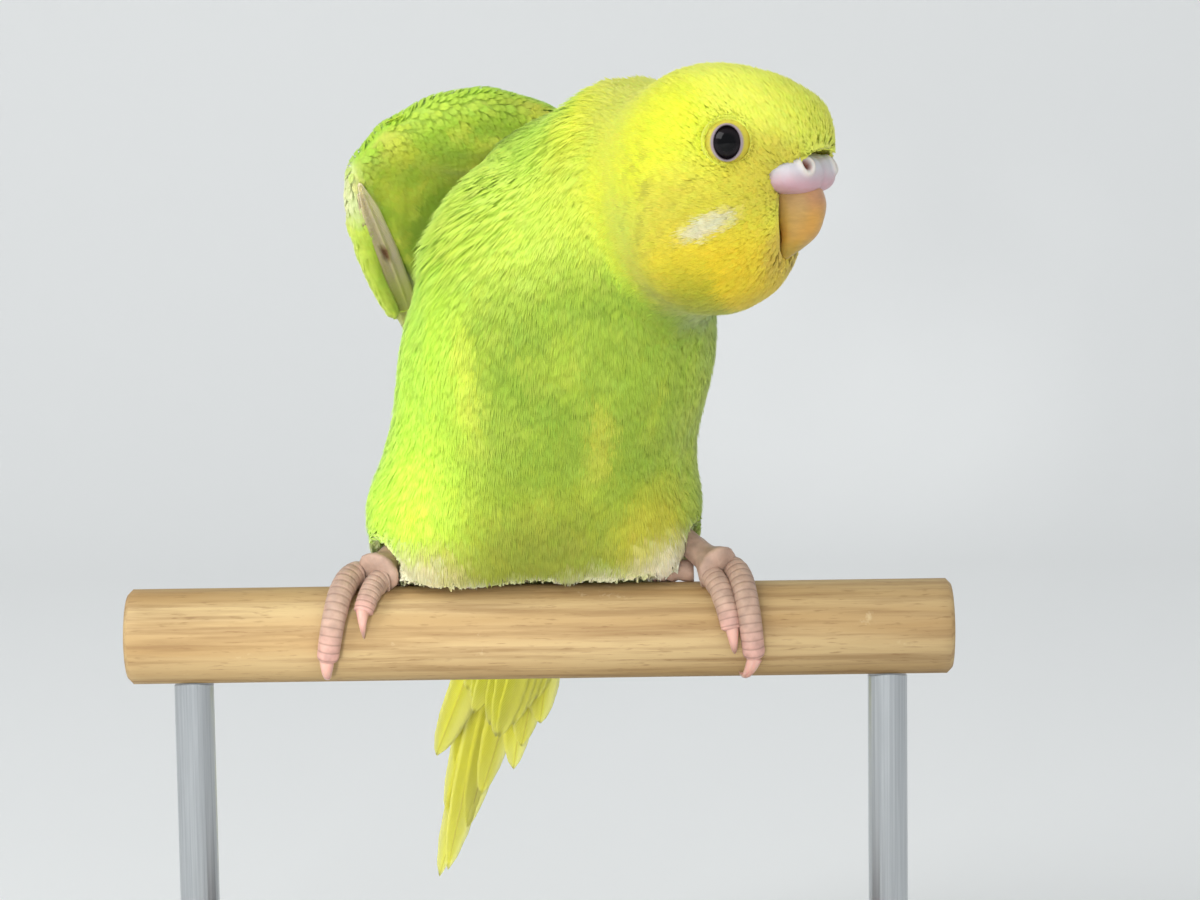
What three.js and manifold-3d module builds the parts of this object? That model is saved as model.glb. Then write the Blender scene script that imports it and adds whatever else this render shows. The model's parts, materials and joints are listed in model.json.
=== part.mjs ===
// A life-size budgerigar gripping a cut length of dowel on a plain display stand.
// Millimetres, +Z up. The bird faces -Y, its right side is at -X, and its right wing is lifted off the back.
import * as THREE from "three";
import { mergeVertices } from "three/addons/utils/BufferGeometryUtils.js";
import Module from "manifold-3d";

const wasm = await Module();
wasm.setup();

// Driving dimensions
const GAP = 0.32;
const ROOM = 0.38;
const PERCH_RADIUS = 6;
const PERCH_LENGTH = 104;
const PERCH_HEIGHT = 66;
const BASE_SIZE = { width: 118, depth: 98, height: 7, corner: 16, bevel: 1.2 };
const ROD = { radius: 2.5, apart: 88 };
const TRUNK_LEAN = new THREE.Vector3(9, -16, 58);
const BODY_CELL = 4.2;
const HEAD_CELL = 2.5;
const WING_CELL = 2.7;
const BLEND = 2;
const HEAD = { centre: new THREE.Vector3(21.7, -19.5, 57.3), yaw: 62 };
const EYE = { radius: 2.35, forward: 6.4, up: 4.2, sunk: 1.65, lid: 1.98, lidThick: 0.42 };

// Limits for tidying cut surfaces
const SHORT_EDGE = { fine: 0.12, usual: 0.2, vanes: 0.42 };
const TINY_AREA = 1e-3;
const FACE_TURN = 0.6;
const HAIR = 0.01;

// Feathers: vane thickness, and how far one layer lies above the next
const VANE_THICK = 0.5;
const LAYER = 0.86;
const SHINGLE = 0.12;

// Colours, as seen on the bird
const PAINT = {
  yellow: { color: 0xf2f03a, roughness: 0.8 },
  green: { color: 0xa6cc35, roughness: 0.8 },
  lime: { color: 0xc3dd3c, roughness: 0.8 },
  tail: { color: 0xd6d23c, roughness: 0.75 },
  cere: { color: 0xcdb4bd, roughness: 0.45 },
  bill: { color: 0xd9a05c, roughness: 0.4 },
  eye: { color: 0x14161c, roughness: 0.08 },
  skin: { color: 0xc9a390, roughness: 0.6 },
  claw: { color: 0xdba593, roughness: 0.4 },
  dowel: { color: 0xc2a06a, roughness: 0.65 },
  walnut: { color: 0x4d3424, roughness: 0.4 },
  steel: { color: 0xb9bcc0, roughness: 0.3, metalness: 1 },
};

// Solids from geometry and back
function solidOf(geometry) {
  const bare = geometry.clone();
  bare.deleteAttribute("normal");
  bare.deleteAttribute("uv");
  const merged = mergeVertices(bare, 1e-4);
  const made = new wasm.Manifold(
    new wasm.Mesh({
      numProp: 3,
      vertProperties: new Float32Array(merged.attributes.position.array),
      triVerts: new Uint32Array(merged.index.array),
    }),
  );
  return made;
}

function largestOf(solid) {
  const pieces = solid.decompose();
  return pieces.reduce((best, piece) => (piece.volume() > best.volume() ? piece : best));
}

function fuse(solids) {
  return largestOf(solids.reduce((whole, solid) => whole.add(solid)));
}

function cutFrom(solid, ...cutters) {
  return largestOf(cutters.reduce((left, cutter) => left.subtract(cutter), solid));
}

// Joins and cuts leave very short edges. Each is closed up onto one of its ends, where the surface stays
// closed and no face beside it turns over.
function closeShortEdges(points, faces, limit) {
  const around = points.map(() => new Set());
  faces.forEach((face, f) => face.forEach((v) => around[v].add(f)));
  const areaVector = (face, moved, to) => {
    const [a, b, c] = face.map((v) => points[v === moved ? to : v]);
    return new THREE.Vector3().crossVectors(b.clone().sub(a), c.clone().sub(a));
  };
  const neighbours = (v) => new Set([...around[v]].flatMap((f) => faces[f]));
  const closes = (from, to) => {
    const shared = [...neighbours(from)].filter((v) => v !== from && v !== to && neighbours(to).has(v));
    if (shared.length !== 2) return false;
    for (const f of around[from]) {
      if (faces[f].includes(to)) continue;
      const before = areaVector(faces[f], from, from);
      const after = areaVector(faces[f], from, to);
      if (after.length() < TINY_AREA) return false;
      if (before.length() > TINY_AREA && before.angleTo(after) > FACE_TURN) return false;
    }
    for (const f of around[from]) {
      if (faces[f].includes(to)) {
        faces[f].forEach((v) => v !== from && around[v].delete(f));
        faces[f] = null;
      } else {
        faces[f] = faces[f].map((v) => (v === from ? to : v));
        around[to].add(f);
      }
    }
    around[from].clear();
    return true;
  };
  let closed = true;
  while (closed) {
    closed = false;
    for (let f = 0; f < faces.length; f++) {
      for (let side = 0; side < 3 && faces[f]; side++) {
        const [a, b] = [faces[f][side], faces[f][(side + 1) % 3]];
        if (points[a].distanceTo(points[b]) < limit && (closes(a, b) || closes(b, a))) closed = true;
      }
    }
  }
  return faces.filter((face) => face);
}

// Where two stretches of surface touch at a corner, each one's corner is drawn in by a hair
function partTouchingCorners(points, faces) {
  const normals = new Map();
  for (const face of faces) {
    const [a, b, c] = face.map((v) => points[v]);
    const area = new THREE.Vector3().crossVectors(b.clone().sub(a), c.clone().sub(a));
    for (const v of face) normals.set(v, (normals.get(v) ?? new THREE.Vector3()).add(area));
  }
  const places = new Map();
  for (const v of normals.keys()) {
    const place = points[v].toArray().map((value) => value.toFixed(3)).join();
    places.set(place, [...(places.get(place) ?? []), v]);
  }
  for (const corners of places.values()) {
    if (corners.length < 2) continue;
    for (const v of corners) points[v].addScaledVector(normals.get(v).normalize(), -HAIR);
  }
}

function node(name, solid, paint, limit = SHORT_EDGE.usual) {
  const mesh = solid.getMesh();
  const points = Array.from({ length: mesh.numVert }, (_, i) =>
    new THREE.Vector3().fromArray(mesh.vertProperties, i * mesh.numProp),
  );
  const faces = Array.from({ length: mesh.numTri }, (_, i) => [...mesh.triVerts.subarray(3 * i, 3 * i + 3)]);
  const kept = closeShortEdges(points, faces, limit);
  partTouchingCorners(points, kept);
  const geometry = geometryFrom(points, kept);
  geometry.computeVertexNormals();
  const made = new THREE.Mesh(geometry, new THREE.MeshStandardMaterial(paint));
  made.name = name;
  return made;
}

function geometryFrom(points, triangles) {
  const geometry = new THREE.BufferGeometry();
  geometry.setAttribute(
    "position",
    new THREE.Float32BufferAttribute(points.flatMap((p) => [p.x, p.y, p.z]), 3),
  );
  geometry.setIndex(triangles.flat());
  return geometry;
}

function ellipsoid(centre, radii, turn = new THREE.Quaternion(), detail = 20) {
  const geometry = new THREE.SphereGeometry(1, detail, Math.round(detail * 0.6));
  const size = new THREE.Vector3(...radii);
  geometry.applyMatrix4(new THREE.Matrix4().compose(centre, turn, size));
  return solidOf(geometry);
}

// A tube along points, with a ring of sides at each: radii gives its half-widths along across and along the
// third direction, and both ends are closed by a fan.
function tube(points, radii, across, sides = 8) {
  const corners = [];
  const triangles = [];
  const along = new THREE.Vector3();
  points.forEach((point, i) => {
    const before = points[Math.max(i - 1, 0)];
    const after = points[Math.min(i + 1, points.length - 1)];
    along.subVectors(after, before).normalize();
    const side = across.clone().addScaledVector(along, -across.dot(along)).normalize();
    const lift = new THREE.Vector3().crossVectors(along, side);
    for (let k = 0; k < sides; k++) {
      const angle = (2 * Math.PI * k) / sides;
      const corner = point.clone();
      corner.addScaledVector(side, radii[i][0] * Math.cos(angle));
      corner.addScaledVector(lift, radii[i][1] * Math.sin(angle));
      corners.push(corner);
    }
  });
  for (let i = 0; i + 1 < points.length; i++) {
    for (let k = 0; k < sides; k++) {
      const a = i * sides + k;
      const b = i * sides + ((k + 1) % sides);
      triangles.push([a, b, b + sides], [a, b + sides, a + sides]);
    }
  }
  const first = corners.push(points[0].clone()) - 1;
  const last = corners.push(points[points.length - 1].clone()) - 1;
  const end = (points.length - 1) * sides;
  for (let k = 0; k < sides; k++) {
    const next = (k + 1) % sides;
    triangles.push([first, next, k], [last, end + k, end + next]);
  }
  return solidOf(geometryFrom(corners, triangles));
}

// A thin closed sheet over a grid: at(row, column, side) gives a point, where side is 1 above and -1 below
function thickSheet(rows, columns, at) {
  const points = [];
  const count = rows * columns;
  for (const side of [1, -1])
    for (let r = 0; r < rows; r++) for (let c = 0; c < columns; c++) points.push(at(r, c, side));
  const rim = [];
  for (let c = 0; c + 1 < columns; c++) rim.push([c, c + 1]);
  for (let r = 0; r + 1 < rows; r++) rim.push([(r + 1) * columns - 1, (r + 2) * columns - 1]);
  for (let c = columns - 1; c > 0; c--) rim.push([(rows - 1) * columns + c, (rows - 1) * columns + c - 1]);
  for (let r = rows - 1; r > 0; r--) rim.push([r * columns, (r - 1) * columns]);
  const triangles = rim.flatMap(([i, j]) => [[j, i, count + i], [j, count + i, count + j]]);
  for (let r = 0; r + 1 < rows; r++) {
    for (let c = 0; c + 1 < columns; c++) {
      const a = r * columns + c;
      const faces = [[a, a + 1, a + columns + 1], [a, a + columns + 1, a + columns]];
      for (const [i, j, k] of faces) triangles.push([i, j, k], [count + k, count + j, count + i]);
    }
  }
  const made = solidOf(geometryFrom(points, triangles));
  if (made.volume() > 0) return made;
  return solidOf(geometryFrom(points, triangles.map(([i, j, k]) => [k, j, i])));
}

// A feather's outline from root to tip, as shares of its length and of its half-width
const FLIGHT_OUTLINE = [[0, 0.4], [0.25, 0.9], [0.65, 1], [0.9, 0.72], [1, 0.26]];
const COVERT_OUTLINE = [[0, 0.6], [0.55, 1], [0.88, 0.72], [1, 0.3]];

// One feather in a sheet: it runs from root to tip, its edge that faces outward lies higher than the other,
// and sink takes its root into the flesh
function layFeather(sheet, feather) {
  const { root, tip, lift, width, sink = 0, droop = 0, outline = COVERT_OUTLINE, columns = 2 } = feather;
  const length = Math.hypot(tip[0] - root[0], tip[1] - root[1]);
  const ahead = [(tip[0] - root[0]) / length, (tip[1] - root[1]) / length];
  return thickSheet(outline.length, columns, (row, column, side) => {
    const [along, share] = outline[row];
    const across = (column / (columns - 1) - 0.5) * width * share;
    const a = root[0] + ahead[0] * length * along + ahead[1] * across;
    const v = root[1] + ahead[1] * length * along - ahead[0] * across;
    const rise = lift - sink * (1 - along) ** 2 - droop * along ** 2 - SHINGLE * across;
    return sheet(a, v, rise + (side * VANE_THICK) / 2);
  });
}

// A row of feathers whose roots, tips and lifts move evenly from the outermost to the innermost
function row({ count, roots, tips, lifts, ...shape }) {
  return Array.from({ length: count }, (_, i) => {
    const t = i / (count - 1);
    return { root: mix(...roots, t), tip: mix(...tips, t), lift: lifts[0] + (lifts[1] - lifts[0]) * t, ...shape };
  });
}

const mix = (from, to, t) => from.map((value, n) => value + (to[n] - value) * t);
const offset = (point, a, v) => [point[0] + a, point[1] + v];

// The surface where field is zero: one corner in each cell that it crosses, one quad on each crossed grid edge.
// The grid's outer layers count as outside, so that the surface is always closed.
function surfaceOf(field, low, high, cell) {
  const count = ["x", "y", "z"].map((axis) => Math.ceil((high[axis] - low[axis]) / cell) + 1);
  const at = (i, j, k) => (k * count[1] + j) * count[0] + i;
  const corner = (i, j, k) => new THREE.Vector3(low.x + i * cell, low.y + j * cell, low.z + k * cell);
  const value = new Float64Array(count[0] * count[1] * count[2]);
  for (let k = 0; k < count[2]; k++)
    for (let j = 0; j < count[1]; j++)
      for (let i = 0; i < count[0]; i++) {
        const outer = [i, j, k].some((n, axis) => n < 2 || n > count[axis] - 3);
        value[at(i, j, k)] = outer ? cell : field(corner(i, j, k));
      }
  const steps = [at(1, 0, 0), at(0, 1, 0), at(0, 0, 1)];
  const units = [corner(1, 0, 0), corner(0, 1, 0), corner(0, 0, 1)].map((p) => p.sub(low));
  const points = [];
  const pointIn = new Map();
  const pointOf = (i, j, k) => {
    const key = at(i, j, k);
    if (pointIn.has(key)) return pointIn.get(key);
    const sum = new THREE.Vector3();
    let crossings = 0;
    for (let axis = 0; axis < 3; axis++) {
      const others = [0, 1, 2].filter((other) => other !== axis);
      for (const shift of [[0, 0], [1, 0], [0, 1], [1, 1]]) {
        const cellCorner = [i, j, k];
        others.forEach((other, n) => (cellCorner[other] += shift[n]));
        const here = value[at(...cellCorner)];
        const there = value[at(...cellCorner) + steps[axis]];
        if (here < 0 === there < 0) continue;
        sum.add(corner(...cellCorner).addScaledVector(units[axis], here / (here - there)));
        crossings++;
      }
    }
    pointIn.set(key, points.push(sum.divideScalar(crossings)) - 1);
    return points.length - 1;
  };
  const triangles = [];
  for (let k = 1; k + 1 < count[2]; k++)
    for (let j = 1; j + 1 < count[1]; j++)
      for (let i = 1; i + 1 < count[0]; i++)
        for (let axis = 0; axis < 3; axis++) {
          const here = value[at(i, j, k)];
          const there = value[at(i, j, k) + steps[axis]];
          if (here < 0 === there < 0) continue;
          const u = [0, 0, 0];
          const v = [0, 0, 0];
          u[(axis + 1) % 3] = 1;
          v[(axis + 2) % 3] = 1;
          const quad = [[1, 1], [0, 1], [0, 0], [1, 0]].map(([a, b]) =>
            pointOf(i - a * u[0] - b * v[0], j - a * u[1] - b * v[1], k - a * u[2] - b * v[2]),
          );
          if (here >= 0) quad.reverse();
          const [a, b, c, d] = quad;
          if (points[a].distanceTo(points[c]) < points[b].distanceTo(points[d]))
            triangles.push([a, b, c], [a, c, d]);
          else triangles.push([a, b, d], [b, c, d]);
        }
  return { points, triangles };
}

// The flesh with its plumage outline: ellipsoids that melt into each other. Radii are side, front and up.
const UP = new THREE.Vector3(0, 0, 1);
const FLESH = [
  { at: [1.3, 3.5, 31], radii: [19.4, 16.5, 31], up: TRUNK_LEAN, yaw: 12 },
  { at: [4.4, -4, 37], radii: [18.4, 15, 18], up: TRUNK_LEAN, yaw: 14 },
  { at: [-0.8, 7, 15], radii: [20.5, 13.5, 12], up: UP, yaw: 10 },
  { at: [-12.3, 3, 12.5], radii: [9.3, 10.5, 11], up: UP, yaw: 0 },
  { at: [11.5, 4, 13.5], radii: [9.2, 10.5, 11.5], up: UP, yaw: 0 },
  { at: [5, 7, 54.3], radii: [13, 11, 12], up: UP, yaw: 12 },
  { at: [12.8, -5.5, 55.4], radii: [12.5, 12, 13.8], up: UP, yaw: 40 },
  { at: HEAD.centre.toArray(), radii: [10.6, 12.3, 13.4], up: UP, yaw: HEAD.yaw },
  { at: [22, -19.7, 49], radii: [10.6, 8.5, 7.8], up: UP, yaw: HEAD.yaw },
  { at: [29.2, -23.5, 61.3], radii: [7.4, 7, 6.5], up: UP, yaw: HEAD.yaw },
  { at: [-3, 19, 9], radii: [10, 9, 11], up: TRUNK_LEAN, yaw: 12 },
].map(({ at, radii, up, yaw }) => {
  const rise = up.clone().normalize();
  const front = new THREE.Vector3(Math.sin(radians(yaw)), -Math.cos(radians(yaw)), 0);
  front.addScaledVector(rise, -front.dot(rise)).normalize();
  const side = new THREE.Vector3().crossVectors(front, rise);
  return { centre: new THREE.Vector3(...at), radii, axes: [side, front, rise] };
});

function radians(degrees) {
  return (degrees * Math.PI) / 180;
}

function fleshField(point) {
  let sum = 0;
  const from = new THREE.Vector3();
  for (const { centre, radii, axes } of FLESH) {
    from.subVectors(point, centre);
    let unit = 0;
    let slope = 0;
    axes.forEach((axis, n) => {
      const share = from.dot(axis) / radii[n];
      unit += share * share;
      slope += (share / radii[n]) ** 2;
    });
    const reach = Math.sqrt(unit);
    const distance = (reach * (reach - 1)) / Math.max(Math.sqrt(slope), 1e-9);
    sum += Math.exp(-distance / BLEND);
  }
  return -BLEND * Math.log(sum);
}

function flesh(low, high, cell, grown = 0) {
  const made = surfaceOf((point) => fleshField(point) - grown, low, high, cell);
  return solidOf(geometryFrom(made.points, made.triangles));
}

// Half of space on one side of a plane, as a big block
function halfSpace(point, normal, offset) {
  const size = 400;
  const geometry = new THREE.BoxGeometry(size, size, size);
  geometry.translate(0, 0, size / 2 + offset);
  geometry.applyQuaternion(new THREE.Quaternion().setFromUnitVectors(UP, normal.clone().normalize()));
  geometry.translate(point.x, point.y, point.z);
  return solidOf(geometry);
}

// Head frame: forward along the bill, side to the bird's left, up
const headForward = new THREE.Vector3(Math.sin(radians(HEAD.yaw)), -Math.cos(radians(HEAD.yaw)), 0);
const headLeft = new THREE.Vector3().crossVectors(UP, headForward).normalize();
const headTurn = new THREE.Quaternion().setFromRotationMatrix(
  new THREE.Matrix4().makeBasis(headForward, headLeft, UP),
);

function headPoint(forward, left, up) {
  const point = HEAD.centre.clone();
  point.addScaledVector(headForward, forward);
  point.addScaledVector(headLeft, left);
  return point.addScaledVector(UP, up);
}

// Where a line from inside the flesh comes out of it
function fleshExit(from, direction) {
  let [inside, outside] = [0, 40];
  for (let i = 0; i < 40; i++) {
    const middle = (inside + outside) / 2;
    if (fleshField(from.clone().addScaledVector(direction, middle)) < 0) inside = middle;
    else outside = middle;
  }
  return from.clone().addScaledVector(direction, inside);
}

// The eyeball sits in a socket behind a raised ring of lid
function eyeAt(side) {
  const skin = fleshExit(headPoint(EYE.forward, 0, EYE.up), headLeft.clone().multiplyScalar(side));
  const outward = headLeft.clone().multiplyScalar(side * 0.9);
  outward.addScaledVector(headForward, 0.42).normalize();
  const centre = skin.clone().addScaledVector(outward, -EYE.sunk);
  const ring = new THREE.TorusGeometry(EYE.lid, EYE.lidThick, 5, 14);
  ring.applyQuaternion(new THREE.Quaternion().setFromUnitVectors(UP, outward));
  ring.translate(skin.x, skin.y, skin.z);
  const sphere = (radius) => ellipsoid(centre, [radius, radius, radius], undefined, 12);
  return { ball: sphere(EYE.radius), socket: sphere(EYE.radius + GAP), lid: solidOf(ring) };
}

// The bill's stations in the head's middle plane: culmen and cutting edge as forward and up, and half-width
const BILL_UPPER = [
  { culmen: [14, -1.9], edge: [8, -1.9], half: 3.1 },
  { culmen: [14.4, -3.3], edge: [8.4, -3.9], half: 3 },
  { culmen: [14.2, -5], edge: [8.9, -5.6], half: 2.65 },
  { culmen: [13.2, -6.8], edge: [9.1, -7], half: 2.05 },
  { culmen: [11.5, -8.3], edge: [8.8, -8.1], half: 1.25 },
  { culmen: [9.5, -9.6], edge: [8.8, -9.2], half: 0.35 },
];
const BILL_LOWER = [
  { culmen: [7.6, -4.2], edge: [5.2, -6.4], half: 2.5 },
  { culmen: [8.8, -5.9], edge: [6.5, -7.7], half: 2.3 },
  { culmen: [9.2, -7.4], edge: [7.7, -8.8], half: 1.6 },
  { culmen: [9.1, -8.5], edge: [8.4, -9.3], half: 0.8 },
];

function bill(stations, grown = 0) {
  const middles = stations.map(({ culmen, edge }) =>
    headPoint((culmen[0] + edge[0]) / 2, 0, (culmen[1] + edge[1]) / 2),
  );
  const radii = stations.map(({ culmen, edge, half }) => [
    half + grown,
    Math.hypot(culmen[0] - edge[0], culmen[1] - edge[1]) / 2 + grown,
  ]);
  return tube(middles, radii, headLeft, 12);
}

// Two swollen lobes with a nostril in each
const CERE = { forward: 12.1, up: 0.4, apart: 2.15, radii: [2.6, 2.5, 2.35], nostril: 0.62 };

function cere(grown = 0) {
  const lobes = [-1, 1].map((side) =>
    ellipsoid(
      headPoint(CERE.forward, side * CERE.apart, CERE.up),
      CERE.radii.map((radius) => radius + grown),
      headTurn,
      10,
    ),
  );
  const bridge = ellipsoid(
    headPoint(CERE.forward - 0.2, 0, CERE.up - 0.4),
    [2.3 + grown, 3.9 + grown, 1.7 + grown],
    headTurn,
    12,
  );
  return fuse([...lobes, bridge]);
}

function nostril(side) {
  const centre = headPoint(CERE.forward + 2.1, side * (CERE.apart + 0.1), CERE.up + 1.1);
  return ellipsoid(centre, [1.3, CERE.nostril, CERE.nostril], headTurn, 8);
}

// A wing lies in its own sheet: inward from the leading edge, back along the feathers, and dorsal lift.
// The sheet bends round the body with its wrap radius.
function wingSheet({ carpal, back, dorsal, mirrored, wrap, crest }) {
  const along = new THREE.Vector3(...back).normalize();
  const lift = new THREE.Vector3(...dorsal);
  lift.addScaledVector(along, -lift.dot(along)).normalize();
  const inward = new THREE.Vector3().crossVectors(along, lift);
  if (mirrored) inward.negate();
  const start = new THREE.Vector3(...carpal);
  return (a, v, w) => {
    const sag = (a - crest) ** 2 / (2 * wrap);
    const point = start.clone().addScaledVector(inward, a);
    point.addScaledVector(along, v);
    return point.addScaledVector(lift, w - sag);
  };
}

// The wing's fleshy arm: hand, forearm, upper arm and the web of skin between them, as capsules that melt together
function armOf(sheet, { hand, elbow, shoulder }) {
  const carpal = [1.2, 3.8, 0.6];
  const limbs = [
    { from: carpal, to: [...hand, -2], radii: [2.8, 2.2] },
    { from: carpal, to: [...elbow, 2.2], radii: [2.7, 3.1] },
    { from: [...shoulder, 0.2], to: [...elbow, 2.2], radii: [3.7, 3.3] },
    { from: carpal, to: [...shoulder, 0.2], radii: [2.5, 3.5] },
    { from: mix(carpal, [...elbow, 2.2], 0.5), to: [...shoulder, 0.2], radii: [2.6, 3.5] },
  ].map(({ from, to, radii }) => ({ from: new THREE.Vector3(...from), to: new THREE.Vector3(...to), radii }));
  const melt = 1.1;
  const field = (point) => {
    let sum = 0;
    for (const { from, to, radii } of limbs) {
      const run = to.clone().sub(from);
      const off = point.clone().sub(from);
      const t = Math.min(Math.max(off.dot(run) / run.lengthSq(), 0), 1);
      const distance = off.addScaledVector(run, -t).length() - (radii[0] + (radii[1] - radii[0]) * t);
      sum += Math.exp(-distance / melt);
    }
    return -melt * Math.log(sum);
  };
  const low = new THREE.Vector3(-20, -14, -12);
  const made = surfaceOf(field, low, new THREE.Vector3(34, 42, 16), WING_CELL);
  const points = made.points.map((p) => sheet(p.x, p.y, p.z));
  const solid = solidOf(geometryFrom(points, made.triangles));
  if (solid.volume() > 0) return solid;
  return solidOf(geometryFrom(points, made.triangles.map(([a, b, c]) => [c, b, a])));
}

// The feathers of a wing: flight feathers from the tip inward, each over its outer neighbour, then the rows
// of coverts that lie over their roots above and below
function wingFeathers({ bones, primaryTips, secondaryTips, lifts, underside }) {
  const hand = bones.hand.slice(0, 2);
  const carpal = [1.6, 6.5];
  const elbow = bones.elbow.slice(0, 2);
  const flight = { outline: FLIGHT_OUTLINE, columns: 3, droop: 1.2 };
  const primaries = row({
    count: 7,
    roots: [hand, carpal],
    tips: primaryTips,
    lifts: [lifts[0], lifts[1]],
    width: 7.6,
    ...flight,
  });
  primaries.forEach((feather, i) => {
    feather.tip = offset(feather.tip, 0, 0.9 * (5 * i - i * i));
  });
  const secondaries = row({
    count: 7,
    roots: [offset(carpal, 1.4, 1), elbow],
    tips: secondaryTips,
    lifts: [lifts[1] + 0.6, lifts[2]],
    width: 8.8,
    ...flight,
  });
  const upper = [
    { behind: -3, ahead: [2.4, 19], width: 7, count: 6, layer: 1, sink: 1 },
    { behind: -5, ahead: [1.8, 10.5], width: 7, count: 5, layer: 2, sink: 2 },
    { behind: -6, ahead: [1.2, 3.6], width: 7.4, count: 4, layer: 2.8, sink: 2.8 },
  ].flatMap(({ behind, ahead, width, count, layer, sink }) =>
    row({
      count,
      roots: [offset(carpal, 1, behind), offset(elbow, 0.5, behind)],
      tips: [offset(carpal, 1 + ahead[0], ahead[1]), offset(elbow, 0.5 + ahead[0], ahead[1] - 3)],
      lifts: [lifts[1] + 0.6 + layer * LAYER, lifts[2] + layer * LAYER],
      width,
      sink,
      droop: 0.8,
    }),
  );
  const handCoverts = row({
    count: 4,
    roots: [offset(hand, 0.4, -4), offset(carpal, -0.4, -4)],
    tips: [offset(hand, 0.6, 15), offset(carpal, 1, 19)],
    lifts: [lifts[0] + LAYER, lifts[1] + LAYER],
    width: 5.4,
    sink: 0.6,
    droop: 0.6,
  });
  const alula = row({
    count: 2,
    roots: [offset(hand, 4, -5.5), offset(hand, 5, -6)],
    tips: [offset(hand, -1.6, 3), offset(hand, 0.4, 5.5)],
    lifts: [lifts[0] + 1.2 * LAYER, lifts[0] + 2.2 * LAYER],
    width: 4,
  });
  const under = [
    { behind: -3, ahead: [1.4, 16], width: 7, count: 6, layer: 1, sink: -1.4 },
    { behind: -4, ahead: [1, 6.5], width: 7, count: 5, layer: 1.9, sink: -2.8 },
  ].flatMap(({ behind, ahead, width, count, layer, sink }) =>
    row({
      count,
      roots: [offset(hand, 1.4, behind), offset(elbow, 0, behind)],
      tips: [offset(hand, 1.4 + ahead[0], ahead[1]), offset(elbow, ahead[0], ahead[1])],
      lifts: [lifts[0] - layer * LAYER, lifts[1] + 0.5 - layer * LAYER],
      width,
      sink,
      droop: 0.2,
    }),
  );
  return [...primaries, ...secondaries, ...upper, ...handCoverts, ...alula, ...(underside ? under : [])];
}

function wing({ sheet, plan }) {
  return fuse([armOf(sheet, plan.bones), ...wingFeathers(plan).map((feather) => layFeather(sheet, feather))]);
}

const RIGHT_WING = {
  sheet: wingSheet({
    carpal: [-19.5, 2, 63.2],
    back: [0.209, 0.784, -0.585],
    dorsal: [-0.263, 0.621, 0.738],
    mirrored: false,
    wrap: 60,
    crest: 4,
  }),
  plan: {
    bones: { hand: [-6.3, 12.6], elbow: [13, 22], shoulder: [19, 9] },
    primaryTips: [[-4.6, 84], [7.6, 70]],
    secondaryTips: [[9.4, 60], [17, 48]],
    lifts: [-2.6, 0.9, 4.9],
    underside: true,
  },
};
const LEFT_WING = {
  sheet: wingSheet({
    carpal: [22.6, 7.2, 46.3],
    back: [-0.343, 0.551, -0.76],
    dorsal: [0.75, 0.6, 0.2],
    mirrored: true,
    wrap: 24,
    crest: 4,
  }),
  plan: {
    bones: { hand: [-3.5, 14.5], elbow: [10, 22], shoulder: [13, 4] },
    primaryTips: [[0.2, 84], [6, 70]],
    secondaryTips: [[6.4, 60], [12, 48]],
    lifts: [-1.6, 1.4, 4.6],
    underside: false,
  },
};

// Tail: graduated feathers in pairs, the middle pair on top, with coverts over and under their roots
const TAIL = {
  root: new THREE.Vector3(-3, 20, 3),
  tip: new THREE.Vector3(-16.6, 72, -51),
  lengths: [76, 61, 51, 43, 36, 29],
  spread: [0.8, 2.3, 3.8, 5.2, 6.3, 7.2],
  width: 6,
  covert: { rows: 3, length: 27, shorter: 4.5, width: 6 },
};

function tail() {
  const along = TAIL.tip.clone().sub(TAIL.root).normalize();
  const left = new THREE.Vector3(0.97, 0.24, 0);
  left.addScaledVector(along, -left.dot(along)).normalize();
  const dorsal = new THREE.Vector3().crossVectors(left, along);
  const sheet = (a, v, w) => {
    const point = TAIL.root.clone().addScaledVector(left, a);
    point.addScaledVector(along, v);
    return point.addScaledVector(dorsal, w);
  };
  const turn = new THREE.Quaternion().setFromRotationMatrix(new THREE.Matrix4().makeBasis(left, along, dorsal));
  const stump = ellipsoid(sheet(0, 3, -1.2), [7, 9, 5.2], turn, 12);
  const feathers = [];
  TAIL.lengths.forEach((length, pair) => {
    for (const side of [-1, 1]) {
      const layer = 2 * pair + (side < 0 ? 1 : 0);
      feathers.push({
        root: [side * (0.6 + pair * 0.75), 2],
        tip: [side * TAIL.spread[pair], length - (side < 0 ? 3 : 0)],
        lift: 1.4 - layer * 0.5 * LAYER,
        width: TAIL.width,
        outline: FLIGHT_OUTLINE,
        columns: 3,
      });
    }
  });
  const { rows, length, shorter, width } = TAIL.covert;
  for (const face of [1, -1])
    for (let i = 0; i < rows; i++)
      for (const side of [-1, 1]) {
        const layer = rows - i + (side > 0 ? 0.5 : 0);
        feathers.push({
          root: [side * (1 + 1.5 * i), 1],
          tip: [side * (1.2 + 2.4 * i), length - shorter * i],
          lift: face > 0 ? 1.4 + layer * LAYER : -3.7 - layer * LAYER,
          width,
          sink: face * 1.6,
          droop: face * 0.8,
        });
      }
  return fuse([stump, ...feathers.map((feather) => layFeather(sheet, feather))]);
}

// A toe runs round the perch: angle 0 is its top and grows to the front, and x runs along it
const ACROSS = new THREE.Vector3(1, 0, 0);

function roundPerch(x, angle, above) {
  const reach = PERCH_RADIUS + GAP + above;
  return new THREE.Vector3(x, -reach * Math.sin(radians(angle)), reach * Math.cos(radians(angle)));
}

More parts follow.
